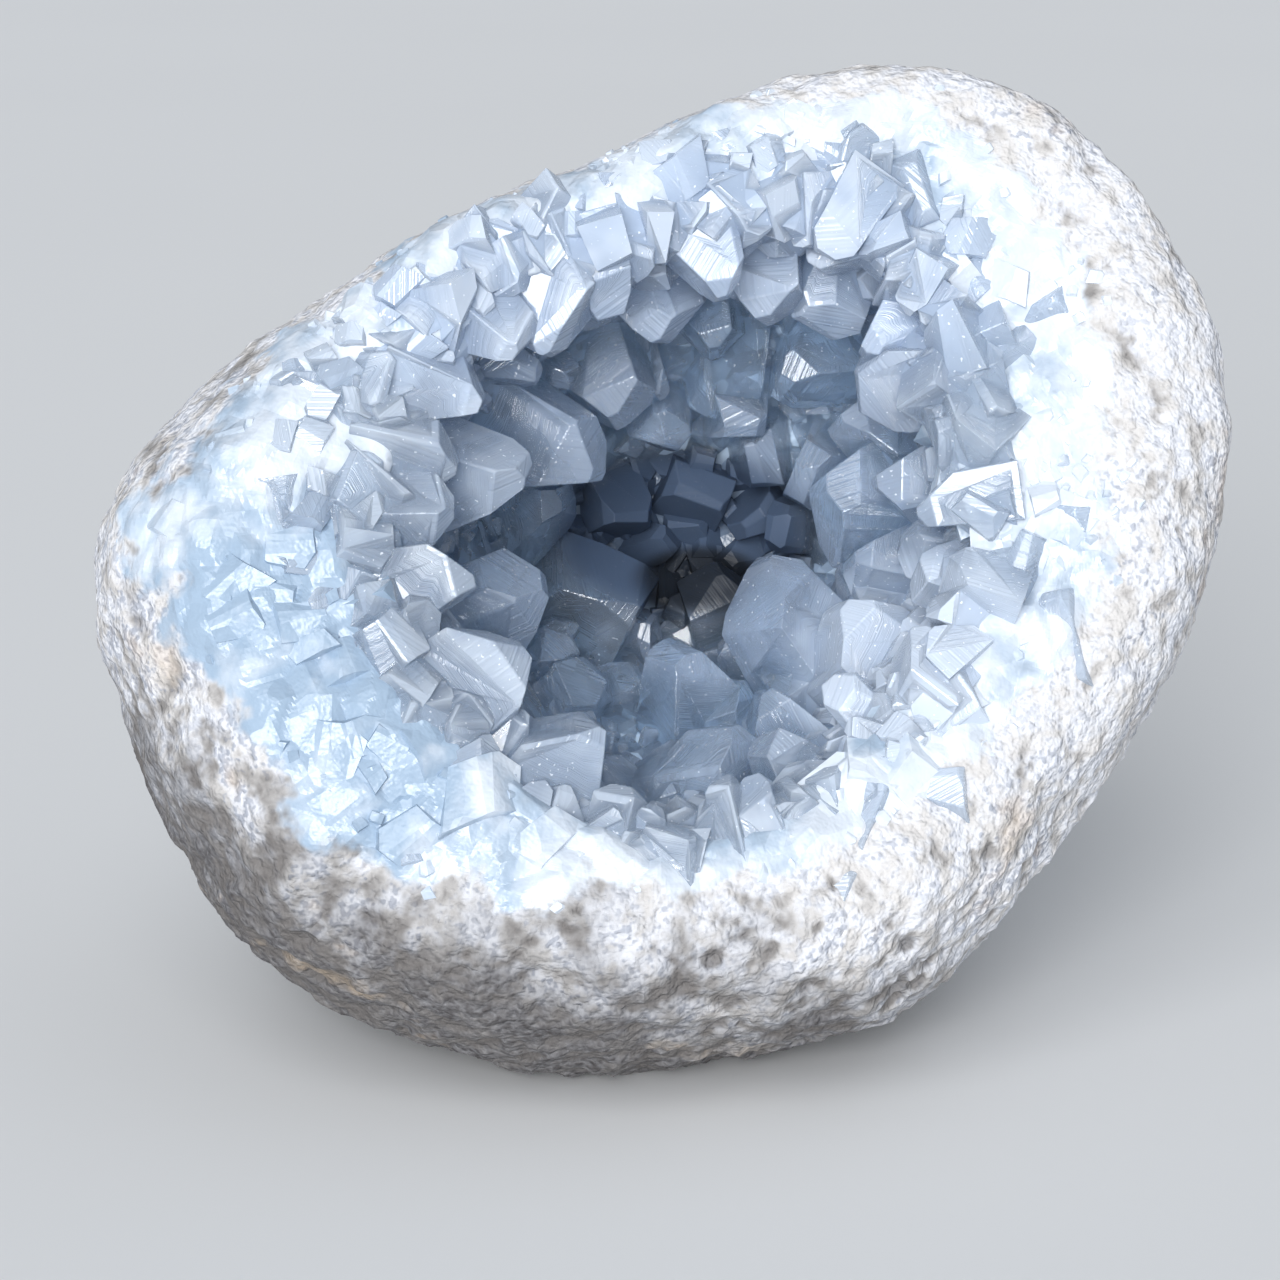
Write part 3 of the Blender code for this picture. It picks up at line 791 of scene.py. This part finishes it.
def ground_mesh(name, stages, segments, room):
    """An open grid over some stages without their fine relief, that loose crystals are grown on."""
    mesh = bpy.data.meshes.new(name)
    angles = np.linspace(0, math.tau, segments + 1)[:-1]
    points, rooms, sizes = [], [], []
    for shape, shares, way in stages:
        for share in shares:
            shares_here = np.full(segments, share)
            point, facing, _ = shape(angles, shares_here)
            point = point + facing * lump(point)[:, None]
            points.append(point)
            rooms.append(crystal_share(point, angles, way(shares_here)) * room(point, angles, way(shares_here)))
            sizes.append(1 - 0.45 * np.maximum(way(shares_here), 0))
    rows = len(points)
    faces = [
        (
            segments * row + i,
            segments * row + (i + 1) % segments,
            segments * (row + 1) + (i + 1) % segments,
            segments * (row + 1) + i,
        )
        for row in range(rows - 1)
        for i in range(segments)
    ]
    mesh.from_pydata([tuple(point) for point in np.concatenate(points)], [], faces)
    for key, values in (("room", np.concatenate(rooms)), ("size", np.concatenate(sizes))):
        mesh.attributes.new(key, "FLOAT", "POINT").data.foreach_set("value", values.astype(np.float32))
    return mesh


def shards(name, pitch, seed):
    """A few small crystals of unit width, for the growth to pick from."""
    kept = bpy.data.collections.new(name)
    for number in range(seed, seed + SHARDS):
        chance = random.Random(number)
        thickness, length = chance.uniform(0.6, 1.0), chance.uniform(0.45, 0.8)
        shell = crystal_shell(1, thickness, length, number, 0.35, pitch)
        bmesh.ops.recalc_face_normals(shell, faces=shell.faces)
        mesh = edged_mesh(f"{name}_{number}", shell, 0.05)
        marked(mesh, (number - seed) / (SHARDS - 1), 9.0)
        kept.objects.link(bpy.data.objects.new(mesh.name, mesh))
    return kept


def growth_tree():
    """Geometry nodes that grow crystals over a ground, denser where its attribute room is larger."""
    group = bpy.data.node_groups.new("crystal_growth", "GeometryNodeTree")
    sockets = (
        ("Ground", "NodeSocketGeometry"),
        ("Shards", "NodeSocketCollection"),
        ("Finish", "NodeSocketMaterial"),
        ("Spacing", "NodeSocketFloat"),
        ("Smallest", "NodeSocketFloat"),
        ("Largest", "NodeSocketFloat"),
        ("Lean", "NodeSocketFloat"),
        ("Sink", "NodeSocketFloat"),
        ("Joined", "NodeSocketBool"),
        ("Seed", "NodeSocketInt"),
    )
    for name, kind in sockets:
        group.interface.new_socket(name, in_out="INPUT", socket_type=kind)
    group.interface.new_socket("Crystals", in_out="OUTPUT", socket_type="NodeSocketGeometry")
    nodes = Nodes(group)
    given = nodes.tree.nodes.new("NodeGroupInput")
    ground, kinds, finish, spacing, smallest, largest, lean, sink, joined, seed = (
        Wire(nodes, given.outputs[name]) for name, _ in sockets
    )
    room = nodes.add("GeometryNodeInputNamedAttribute", {"data_type": "FLOAT"}, {"Name": "room"}, "Attribute")
    size = nodes.add("GeometryNodeInputNamedAttribute", {"data_type": "FLOAT"}, {"Name": "size"}, "Attribute")
    scatter = nodes.add(
        "GeometryNodeDistributePointsOnFaces",
        {"distribute_method": "POISSON"},
        {"Mesh": ground, "Distance Min": spacing, "Density Max": 1.0, "Density Factor": room, "Seed": seed},
        "Points",
    )
    normal = Wire(nodes, scatter.socket.node.outputs["Normal"])
    shake = nodes.add(
        "FunctionNodeRandomValue", {"data_type": "FLOAT_VECTOR"}, {0: (-1, -1, -1), 1: (1, 1, 1), "Seed": 1}, 0
    )
    leaning = nodes.add("ShaderNodeVectorMath", {"operation": "SCALE"}, {0: shake, "Scale": lean})
    growing = nodes.add("ShaderNodeVectorMath", {"operation": "ADD"}, {0: normal, 1: leaning})
    upright = nodes.add("FunctionNodeAlignRotationToVector", {"axis": "Z"}, {"Vector": growing})
    turn = nodes.add("FunctionNodeRandomValue", {"data_type": "FLOAT"}, {2: 0.0, 3: math.tau, "Seed": 2}, 1)
    spin = nodes.add("FunctionNodeAxisAngleToRotation", None, {"Axis": (0, 0, 1), "Angle": turn})
    turned = nodes.add(
        "FunctionNodeRotateRotation", {"rotation_space": "LOCAL"}, {"Rotation": upright, "Rotate By": spin}
    )
    width = nodes.add(
        "FunctionNodeRandomValue", {"data_type": "FLOAT"}, {2: smallest, 3: largest, "Seed": 3}, 1
    )
    shape = nodes.add(
        "FunctionNodeRandomValue", {"data_type": "FLOAT_VECTOR"}, {0: (0.8, 0.8, 0.7), 1: (1.2, 1.2, 1.3), "Seed": 4}
    )
    scale = nodes.add("ShaderNodeVectorMath", {"operation": "SCALE"}, {0: shape, "Scale": width * size})
    picked = nodes.add("GeometryNodeCollectionInfo", None, {0: kinds, 1: True, 2: True})
    planted = nodes.add(
        "GeometryNodeInstanceOnPoints",
        None,
        {"Points": scatter, "Instance": picked, "Pick Instance": True, "Rotation": turned, "Scale": scale},
    )
    down = nodes.add("ShaderNodeVectorMath", {"operation": "SCALE"}, {0: (0, 0, -1), "Scale": sink})
    sunk = nodes.add(
        "GeometryNodeTranslateInstances", None, {"Instances": planted, "Translation": down, "Local Space": True}
    )
    solid = nodes.add("GeometryNodeMeshBoolean", {"operation": "UNION", "solver": "MANIFOLD"}, {"Mesh 2": sunk})
    chosen = nodes.add(
        "GeometryNodeSwitch", {"input_type": "GEOMETRY"}, {"Switch": joined, "False": sunk, "True": solid}
    )
    real = nodes.add("GeometryNodeRealizeInstances", None, {"Geometry": chosen})
    finished = nodes.add("GeometryNodeSetMaterial", None, {"Geometry": real, "Material": finish})
    result = nodes.tree.nodes.new("NodeGroupOutput")
    nodes.tree.links.new(finished.socket, result.inputs[0])
    return group


def grown(name, ground, kinds, growth, finish, joined):
    """Loose crystals over a ground, as a plain mesh."""
    spacing, smallest, largest, lean, sink, seed = growth
    obj = bpy.data.objects.new(name, ground)
    bpy.context.scene.collection.objects.link(obj)
    growing = obj.modifiers.new("growth", "NODES")
    growing.node_group = GROWTH
    values = {
        "Shards": kinds,
        "Finish": finish,
        "Spacing": spacing,
        "Smallest": smallest,
        "Largest": largest,
        "Lean": lean,
        "Sink": sink,
        "Joined": joined,
        "Seed": seed,
    }
    for item in GROWTH.interface.items_tree:
        if item.name in values:
            growing[item.identifier] = values[item.name]
    mesh = evaluated(obj, name)
    bpy.data.objects.remove(obj)
    for key in ("room", "size"):
        if key in mesh.attributes:
            mesh.attributes.remove(mesh.attributes[key])
    return mesh


# Materials


class Wire:
    """A socket of a node tree that Python's operators work on."""

    def __init__(self, paint, socket):
        self.paint = paint
        self.socket = socket

    def maths(self, operation, *others):
        return self.paint.add("ShaderNodeMath", {"operation": operation}, {0: self, **dict(enumerate(others, 1))})

    def __add__(self, other):
        return self.maths("ADD", other)

    def __mul__(self, other):
        return self.maths("MULTIPLY", other)

    def __sub__(self, other):
        return self.maths("SUBTRACT", other)

    def __rsub__(self, other):
        return self.paint.add("ShaderNodeMath", {"operation": "SUBTRACT"}, {0: other, 1: self})

    def __pow__(self, other):
        return self.maths("POWER", other)

    __radd__ = __add__
    __rmul__ = __mul__

    def rise(self, low, high):
        """0 below low and 1 above high, with a smooth rise between, or a fall where low is the larger."""
        settings = {"interpolation_type": "SMOOTHSTEP", "clamp": True}
        limits = {"Value": self, "From Min": low, "From Max": high}
        if low > high:
            limits.update({"From Min": high, "From Max": low, "To Min": 1.0, "To Max": 0.0})
        return self.paint.add("ShaderNodeMapRange", settings, limits)

    def dot(self, direction):
        """This vector's length along a fixed direction."""
        settings = {"operation": "DOT_PRODUCT"}
        return self.paint.add("ShaderNodeVectorMath", settings, {0: self, 1: tuple(direction)}, "Value")


class Nodes:
    """A node tree that is filled by one method."""

    def __init__(self, tree):
        self.tree = tree

    def add(self, kind, settings=None, inputs=None, output=0):
        """Adds a node: its settings first, then the values or links of its sockets."""
        node = self.tree.nodes.new(kind)
        for key, value in (settings or {}).items():
            setattr(node, key, value)
        for key, value in (inputs or {}).items():
            socket = node.inputs[key]
            if isinstance(value, Wire):
                self.tree.links.new(value.socket, socket)
            else:
                socket.default_value = value
        return Wire(self, node.outputs[output])


class Paint(Nodes):
    """The node tree of one material."""

    def __init__(self, name):
        self.material = bpy.data.materials.new(name)
        self.material.use_nodes = True
        super().__init__(self.material.node_tree)
        self.tree.nodes.clear()
        self.out = self.tree.nodes.new("ShaderNodeOutputMaterial")

    def place(self):
        return self.add("ShaderNodeTexCoord", output="Object")

    def value(self, name):
        """A number stored at the mesh's points."""
        return self.add("ShaderNodeAttribute", {"attribute_name": name}, output="Fac")

    def noise(self, width, detail=2.0, roughness=0.5, **more):
        """Noise from 0 to 1 with features of this width in millimetres."""
        inputs = {"Vector": self.place(), "Scale": 1 / (width * MM), "Detail": detail, "Roughness": roughness}
        inputs.update(more)
        return self.add("ShaderNodeTexNoise", {"normalize": True}, inputs)

    def cells(self, width, feature="F1", output="Distance", **more):
        inputs = {"Vector": self.place(), "Scale": 1 / (width * MM)}
        inputs.update(more)
        return self.add("ShaderNodeTexVoronoi", {"feature": feature}, inputs, output)

    def blend(self, share, first, second):
        """A colour between two colours."""
        settings = {"data_type": "RGBA", "clamp_factor": True}
        return self.add("ShaderNodeMix", settings, {"Factor": share, 6: first, 7: second}, 2)

    def vector(self, operation, first, second=None, **more):
        """Vector maths."""
        inputs = {0: first, **more}
        if second is not None:
            inputs[1] = second
        return self.add("ShaderNodeVectorMath", {"operation": operation}, inputs)

    def facets(self, chance, strength):
        """The surface's normal, turned another way for each chance colour."""
        turned = self.vector("SUBTRACT", chance, (0.5, 0.5, 0.5))
        turned = self.vector("SCALE", turned, Scale=strength)
        normal = self.add("ShaderNodeNewGeometry", output="Normal")
        return self.vector("NORMALIZE", self.vector("ADD", normal, turned))

    def bump(self, height, distance, strength=1.0, normal=None):
        """A bumped normal, for a height from 0 to 1 over this distance in millimetres."""
        inputs = {"Height": height, "Distance": distance * MM, "Strength": strength}
        if normal is not None:
            inputs["Normal"] = normal
        return self.add("ShaderNodeBump", None, inputs, "Normal")

    def depth(self):
        """Depth under the slope of the rim, in millimetres."""
        return (RIM_HEIGHT + FACE_CENTRE.dot(RIM_WAY) / MM) - self.place().dot(RIM_WAY) * (1 / MM)

    def patch(self, x, y, half_width, half_height):
        """1 inside an ellipse across the face, given in millimetres, and 0 outside."""
        off = self.vector("SUBTRACT", self.place(), tuple(TO_WORLD @ Vector((x, y, 0))))
        across = off.dot(FACE_RIGHT) * (1 / half_width / MM)
        along = off.dot(FACE_UP) * (1 / half_height / MM)
        return (across * across + along * along).rise(1.35, 0.6)

    def hidden(self, depth):
        """How deep in the recess behind the teeth a place is, and in the slot at its bottom, where shade is painted.
        """
        return self.patch(*RECESS) * depth.rise(38, 54), self.patch(*SLOT) * depth.rise(46, 58)

    def painted_shade(self, colour, recess, slot):
        """A colour made dark in the recess, and black in the slot: painted shade."""
        return self.blend(slot * 0.95, self.blend(recess * 0.86, colour, RECESS_SHADE_BLUE), SLOT_SHADOW_BLACK)

    def principled(self, inputs):
        return self.add("ShaderNodeBsdfPrincipled", None, inputs, "BSDF")

    def surface(self, shader):
        self.tree.links.new(shader.socket, self.out.inputs["Surface"])

    def volume(self, shader):
        self.tree.links.new(shader.socket, self.out.inputs["Volume"])


WHITE = (0.67, 0.685, 0.73, 1)
CHALK = (0.58, 0.567, 0.56, 1)
WARM_GREY = (0.14, 0.13, 0.125, 1)
LOW_GREY = (0.07, 0.064, 0.064, 1)
OCHRE = (0.50, 0.38, 0.25, 1)
COLD_GREY = (0.27, 0.30, 0.37, 1)
ICE_WHITE = (0.64, 0.70, 0.78, 1)
ICE_BLUE = (0.31, 0.41, 0.53, 1)
WALL_BLUE = (0.64, 0.80, 0.98, 1)
SHADED_BLUE = (0.14, 0.22, 0.36, 1)
DEEP_BLUE = (0.43, 0.58, 0.83, 1)
MILKY_BLUE = (0.57, 0.70, 0.95, 1)
PALE_BLUE = (0.59, 0.73, 0.97, 1)
PALE_WHITE = (0.73, 0.83, 0.98, 1)
CLEAR_BLUE = (0.74, 0.87, 1.0, 1)
CLEAR_WHITE = (0.88, 0.95, 1.0, 1)
DUST = (0.92, 0.94, 0.97, 1)
# Painted shade, for the recess behind the teeth and the slot at its bottom.
RECESS_SHADE_BLUE = (0.06, 0.09, 0.15, 1)
SLOT_SHADOW_BLACK = (0.012, 0.016, 0.024, 1)

TURN = TO_WORLD.to_3x3().normalized()
FACE_UP = TURN @ Vector((0, 1, 0))
FACE_OUT = TURN @ Vector((0, 0, 1))
FACE_RIGHT = TURN @ Vector((1, 0, 0))
# Ellipses across the face, in millimetres: middle and half sizes. RECESS and SLOT hold painted shade.
RECESS = (4, 6, 21, 14)
BLUE_PATCH = (-52, -20, 26, 30)
PALE_PATCH = (40, -16, 20, 17)
# Painted light, partly: across this patch the roof's crystals are made milkier and so brighter.
ROOF_PATCH = (2, 42, 48, 24)
SLOT = (7, -2, 11, 6)
LOW_WAY = TURN @ Vector((0.3, 0.9, 0.25))
RIM_WAY = TURN @ Vector((RIM_FALL_RIGHT, RIM_FALL_UP, 1))


def stone_and_ice(name):
    """Chalky stone where the mask is 0, and the massive pale layer where it is 1."""
    paint = Paint(name)
    off = paint.vector("SUBTRACT", paint.place(), tuple(FACE_CENTRE))
    crystal = paint.value("crystal")
    relief = paint.value("relief")
    depth = paint.depth()
    fine = paint.noise(1.1, 1.0, 0.6)
    medium = paint.noise(4.2, 2.0, 0.6)
    broad = paint.noise(15.0, 2.0, 0.55)

    # Stone: white chalk, cold grey specks and a few ochre stains; dirt and painted shade low down and to the left.
    low = (off.dot(LOW_WAY) + (broad * 0.7 + medium * 0.3 - 0.5) * 0.07).rise(-0.028, -0.059)
    left = off.dot(FACE_RIGHT).rise(-0.030, -0.062)
    right = off.dot(FACE_RIGHT).rise(0.030, 0.060)
    stone = paint.blend(medium.rise(0.36, 0.60), CHALK, WHITE)
    specks = (fine * 0.55 + medium * 0.45 + left * 0.03).rise(0.53, 0.62)
    stone = paint.blend(specks * (0.3 + broad.rise(0.4, 0.65) * 0.45), stone, COLD_GREY)
    # Darker low down: partly dirt, partly painted shade on the underside that turns from the light.
    stone = paint.blend(low * (0.5 + fine * 0.4 + medium * 0.3), stone, LOW_GREY)
    # Hollows of the relief darker, more so low down and to the left: partly dirt, partly painted shade.
    hollows = (relief + (medium - 0.5) * 1.5 - low * 0.2 - left * 0.25).rise(-0.10, -0.85)
    stone = paint.blend(hollows * 0.75, stone, WARM_GREY)
    stains = (broad * 0.75 + medium * 0.25).rise(0.60, 0.70)
    stone = paint.blend(stains * 0.4, stone, OCHRE)
    rock = paint.principled(
        {
            "Base Color": stone,
            "Roughness": 0.9,
            "Specular IOR Level": 0.3,
            "Normal": paint.bump(fine, 0.7),
        }
    )

    # Ice: sugary white with pale blue clear patches, with painted shade deep in the hollow.
    blueness = broad * 0.7 + medium * 0.3 + depth * 0.006 + paint.patch(*BLUE_PATCH) * 0.17 - right * 0.07
    blueness = blueness.rise(0.42, 0.66)
    ice = paint.blend(blueness, ICE_WHITE, ICE_BLUE)
    ice = paint.blend(depth.rise(4, 34) * 0.85, ice, WALL_BLUE)
    # Painted shade: facets of the ice made darker at random, more so deeper in the hollow.
    pieces = paint.cells(4.5, output="Color")
    shade = pieces.dot((0.6, 0.4, 0)).rise(0.35, 0.65)
    ice = paint.blend(shade * depth.rise(10, 30) * 0.55, ice, SHADED_BLUE)
    ice = paint.blend(stains * 0.12, ice, OCHRE)
    # Painted shade: darker in the recess behind the teeth, and black in the slot at its bottom.
    ice = paint.painted_shade(ice, *paint.hidden(depth))
    glassy = paint.principled(
        {
            "Base Color": ice,
            "Roughness": 0.3,
            "IOR": 1.62,
            "Normal": paint.bump(fine, 0.25, 0.6, paint.facets(pieces, 0.35)),
        }
    )
    mottled = (crystal + (medium - 0.5) * 1.1).rise(0.3, 0.7)
    paint.surface(paint.add("ShaderNodeMixShader", None, {0: mottled, 1: rock, 2: glassy}))
    return paint.material


def celestite(name):
    """Frosted clear crystal with milky veils and a little dust, paler at the rim and to the lower right."""
    paint = Paint(name)
    tint = paint.value("tint")
    depth = paint.depth()
    bright = paint.patch(*PALE_PATCH)
    pale = (depth + (tint - 0.5) * 16 - bright * 16).rise(34, 2)
    veils = paint.noise(7.0, 1.0, 0.6)
    grain = paint.noise(0.5, 0.0)
    edge = paint.value("edge")
    cloud = (veils * 0.65 + tint * 0.35).rise(0.36, 0.62)
    milky_skin = paint.blend(cloud, DEEP_BLUE, MILKY_BLUE)
    milky_skin = paint.blend(pale, milky_skin, PALE_BLUE)
    # Whiter at the pale rim and patch, and along the edges, where light is painted.
    milky_skin = paint.blend(pale * cloud * 0.7 + edge * 0.4 + bright * 0.6, milky_skin, PALE_WHITE)
    dust = grain.rise(0.77, 0.82)
    milky_skin = paint.blend(dust * 0.7, milky_skin, DUST)
    roughness = veils.rise(0.3, 0.7) * 0.10 + 0.02
    streaks = paint.add(
        "ShaderNodeTexNoise",
        {"noise_dimensions": "1D", "normalize": True},
        {"W": paint.value("across"), "Scale": 1.6, "Detail": 1.0, "Roughness": 0.7},
    )
    normal = paint.bump(streaks, 0.16, 0.8)
    milky = paint.principled({"Base Color": milky_skin, "Roughness": roughness, "IOR": 1.62, "Normal": normal})
    clear_skin = paint.blend(pale * 0.8 + tint * 0.2, CLEAR_BLUE, CLEAR_WHITE)
    clear = paint.principled(
        {
            "Base Color": clear_skin,
            "Roughness": roughness,
            "IOR": 1.62,
            "Transmission Weight": 0.9,
            "Normal": normal,
        }
    )
    # Milkier and so brighter across the roof: partly the crystals' own milkiness, partly painted light on faces turned
    # down.
    roof = paint.patch(*ROOF_PATCH) * depth.rise(40, 24)
    share = cloud * 0.14 + pale * 0.22 + dust * 0.4 + edge * 0.08 + roof * 0.22 + bright * 0.3
    lit = paint.add("ShaderNodeMixShader", None, {0: share, 1: clear, 2: milky})

    # Painted shade: dark and dull in the recess behind the teeth, and black in the slot at its bottom.
    recess, slot = paint.hidden(depth)
    shadowed = paint.principled(
        {"Base Color": paint.blend(slot, RECESS_SHADE_BLUE, SLOT_SHADOW_BLACK), "Roughness": 0.6, "Specular IOR Level": 0.15}
    )
    paint.surface(paint.add("ShaderNodeMixShader", None, {0: recess * 0.94, 1: lit, 2: shadowed}))
    absorbing = {"Color": (0.45, 0.64, 0.86, 1), "Density": 9.0}
    paint.volume(paint.add("ShaderNodeVolumeAbsorption", None, absorbing, "Volume"))
    return paint.material


def plain(name, colour, roughness):
    """An even matt finish, for the floor."""
    paint = Paint(name)
    grain = paint.noise(300.0, 2.0, 0.5)
    tone = paint.blend(grain, colour, tuple(part * 0.97 for part in colour[:3]) + (1,))
    paint.surface(
        paint.principled({"Base Color": tone, "Roughness": roughness, "Specular IOR Level": 0.1})
    )
    return paint.material


# The object


def shown(mesh, material, smooth):
    """Puts a finished piece in the scene, riding on the geode's body."""
    piece = bpy.data.objects.new(mesh.name, mesh)
    bpy.context.scene.collection.objects.link(piece)
    mesh.materials.clear()
    mesh.materials.append(material)
    if not smooth:
        mesh.shade_flat()
    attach(piece, BODY)
    return piece


rock_finish = stone_and_ice("stone_and_ice")
crystal_finish = celestite("celestite")

skin_piece = shown(skin_mesh(), rock_finish, True)
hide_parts("matrix_rind")
layer_piece = shown(layer_mesh(), rock_finish, True)
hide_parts("crystal_crust")

BLUNT_SHARDS = shards("blunt_shard", FLAT_PITCH, 930)
SHARP_SHARDS = shards("sharp_shard", 1.0, 900)
GROWTH = growth_tree()


def by_the_hollow(points, angle, way):
    """From the lip as far as the large crystals reach, thinning out."""
    ragged = 0.14 * sampled(noise.noise, points, 12.0)
    reach = around(GROWTH_REACH, angle)
    return step(way + ragged, reach + 0.06, reach - 0.10)


def outermost(points, angle, way):
    """In ragged patches away from the hollow."""
    return step(sampled(noise.noise, points, 13.0) + 0.8 * (way - around(GROWTH_REACH, angle)), -0.2, 0.25)


def sugary(points, angle, way):
    """As far as the outermost patches go, but hardly in the smooth ones to the left."""
    smooth = step(points[..., 0], -18, -38) * step(points[..., 1], 34, 18)
    return outermost(points, angle, way) * (1 - 0.85 * smooth)


def massive(points, angle, way):
    """Where the massive layer lies bare, well inside its outer bound."""
    reach = around(CRYSTAL_REACH, angle)
    return outermost(points, angle, way) * step(way, reach - 0.06, reach - 0.2)


def everywhere(points, angle, way):
    return np.ones(len(points))


def rim_ground(name, room):
    """The rim and the upper part of the flank."""
    stages = (
        (flank, np.linspace(0.3, 0.96, 16), flank_way),
        (rim, np.linspace(0, 1, 12), rim_way),
    )
    return ground_mesh(name, stages, 200, room)


def wall_ground(name):
    return ground_mesh(name, ((hollow, np.linspace(0.0, 0.98, 40), wall_way),), 160, everywhere)


parts = [
    main_crystals(),
    grown("rim_crystals", rim_ground("rim_ground", by_the_hollow), BLUNT_SHARDS, RIM_GROWTH, crystal_finish, True),
    grown("wall_crystals", wall_ground("wall_ground"), SHARP_SHARDS, WALL_GROWTH, crystal_finish, True),
]
crystals = grown_together("hollow_crystals", [bpy.data.objects.new(mesh.name, mesh) for mesh in parts])
crystals.transform(TO_WORLD)
crystal_piece = shown(crystals, crystal_finish, False)
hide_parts("crystal_crust")

def ice_grown(name, room, growth):
    """Small crystals of the massive layer's own ice."""
    mesh = grown(name, rim_ground(f"{name}_ground", room), BLUNT_SHARDS, growth, rock_finish, False)
    icy = np.ones(len(mesh.vertices), np.float32)
    mesh.attributes.new("crystal", "FLOAT", "POINT").data.foreach_set("value", icy)
    mesh.transform(TO_WORLD)
    piece = shown(mesh, rock_finish, False)
    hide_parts("crystal_crust")


ice_grown("sugar_crystals", sugary, SUGAR_GROWTH)
ice_grown("broad_crystals", massive, BROAD_GROWTH)


# Stage, lights and camera


def floor():
    """A plain pale floor."""
    shell = bmesh.new()
    bmesh.ops.create_grid(shell, x_segments=1, y_segments=1, size=6)
    mesh = bpy.data.meshes.new("floor")
    shell.to_mesh(mesh)
    shell.free()
    obj = bpy.data.objects.new("floor", mesh)
    bpy.context.scene.collection.objects.link(obj)
    mesh.materials.append(plain("pale_floor", (0.78, 0.79, 0.80, 1), 0.6))


def sunlight(name, direction, power, spread):
    """An even broad light from a direction of the face frame, spread over some degrees."""
    light = bpy.data.lights.new(name, "SUN")
    light.energy = power
    light.angle = math.radians(spread)
    obj = bpy.data.objects.new(name, light)
    obj.rotation_euler = (TURN @ Vector(direction)).to_track_quat("Z", "Y").to_euler()
    bpy.context.scene.collection.objects.link(obj)


def sky():
    """Even pale light from all round."""
    world = bpy.data.worlds.new("studio")
    bpy.context.scene.world = world
    world.use_nodes = True
    world.node_tree.nodes["Background"].inputs["Color"].default_value = (0.86, 0.92, 1.0, 1)
    world.node_tree.nodes["Background"].inputs["Strength"].default_value = 0.38


def photograph_view():
    """The camera, straight in front of the open face."""
    data = bpy.data.cameras.new("camera")
    data.sensor_width = SENSOR
    data.lens = SENSOR * CAMERA_PLACE.z / VIEW_WIDTH
    data.clip_start = 0.02
    data.clip_end = 50
    camera = bpy.data.objects.new("camera", data)
    bpy.context.scene.collection.objects.link(camera)
    turn = TO_WORLD.to_3x3().normalized().to_4x4()
    camera.matrix_world = Matrix.Translation(TO_WORLD @ CAMERA_PLACE) @ turn
    bpy.context.scene.camera = camera


floor()
sunlight("overhead", (-0.22, 0.48, 0.85), 1.1, 45)
sunlight("fill", (-0.15, 0.01, 0.99), 2.85, 33)
sky()
photograph_view()
bpy.context.scene.view_settings.view_transform = "Standard"
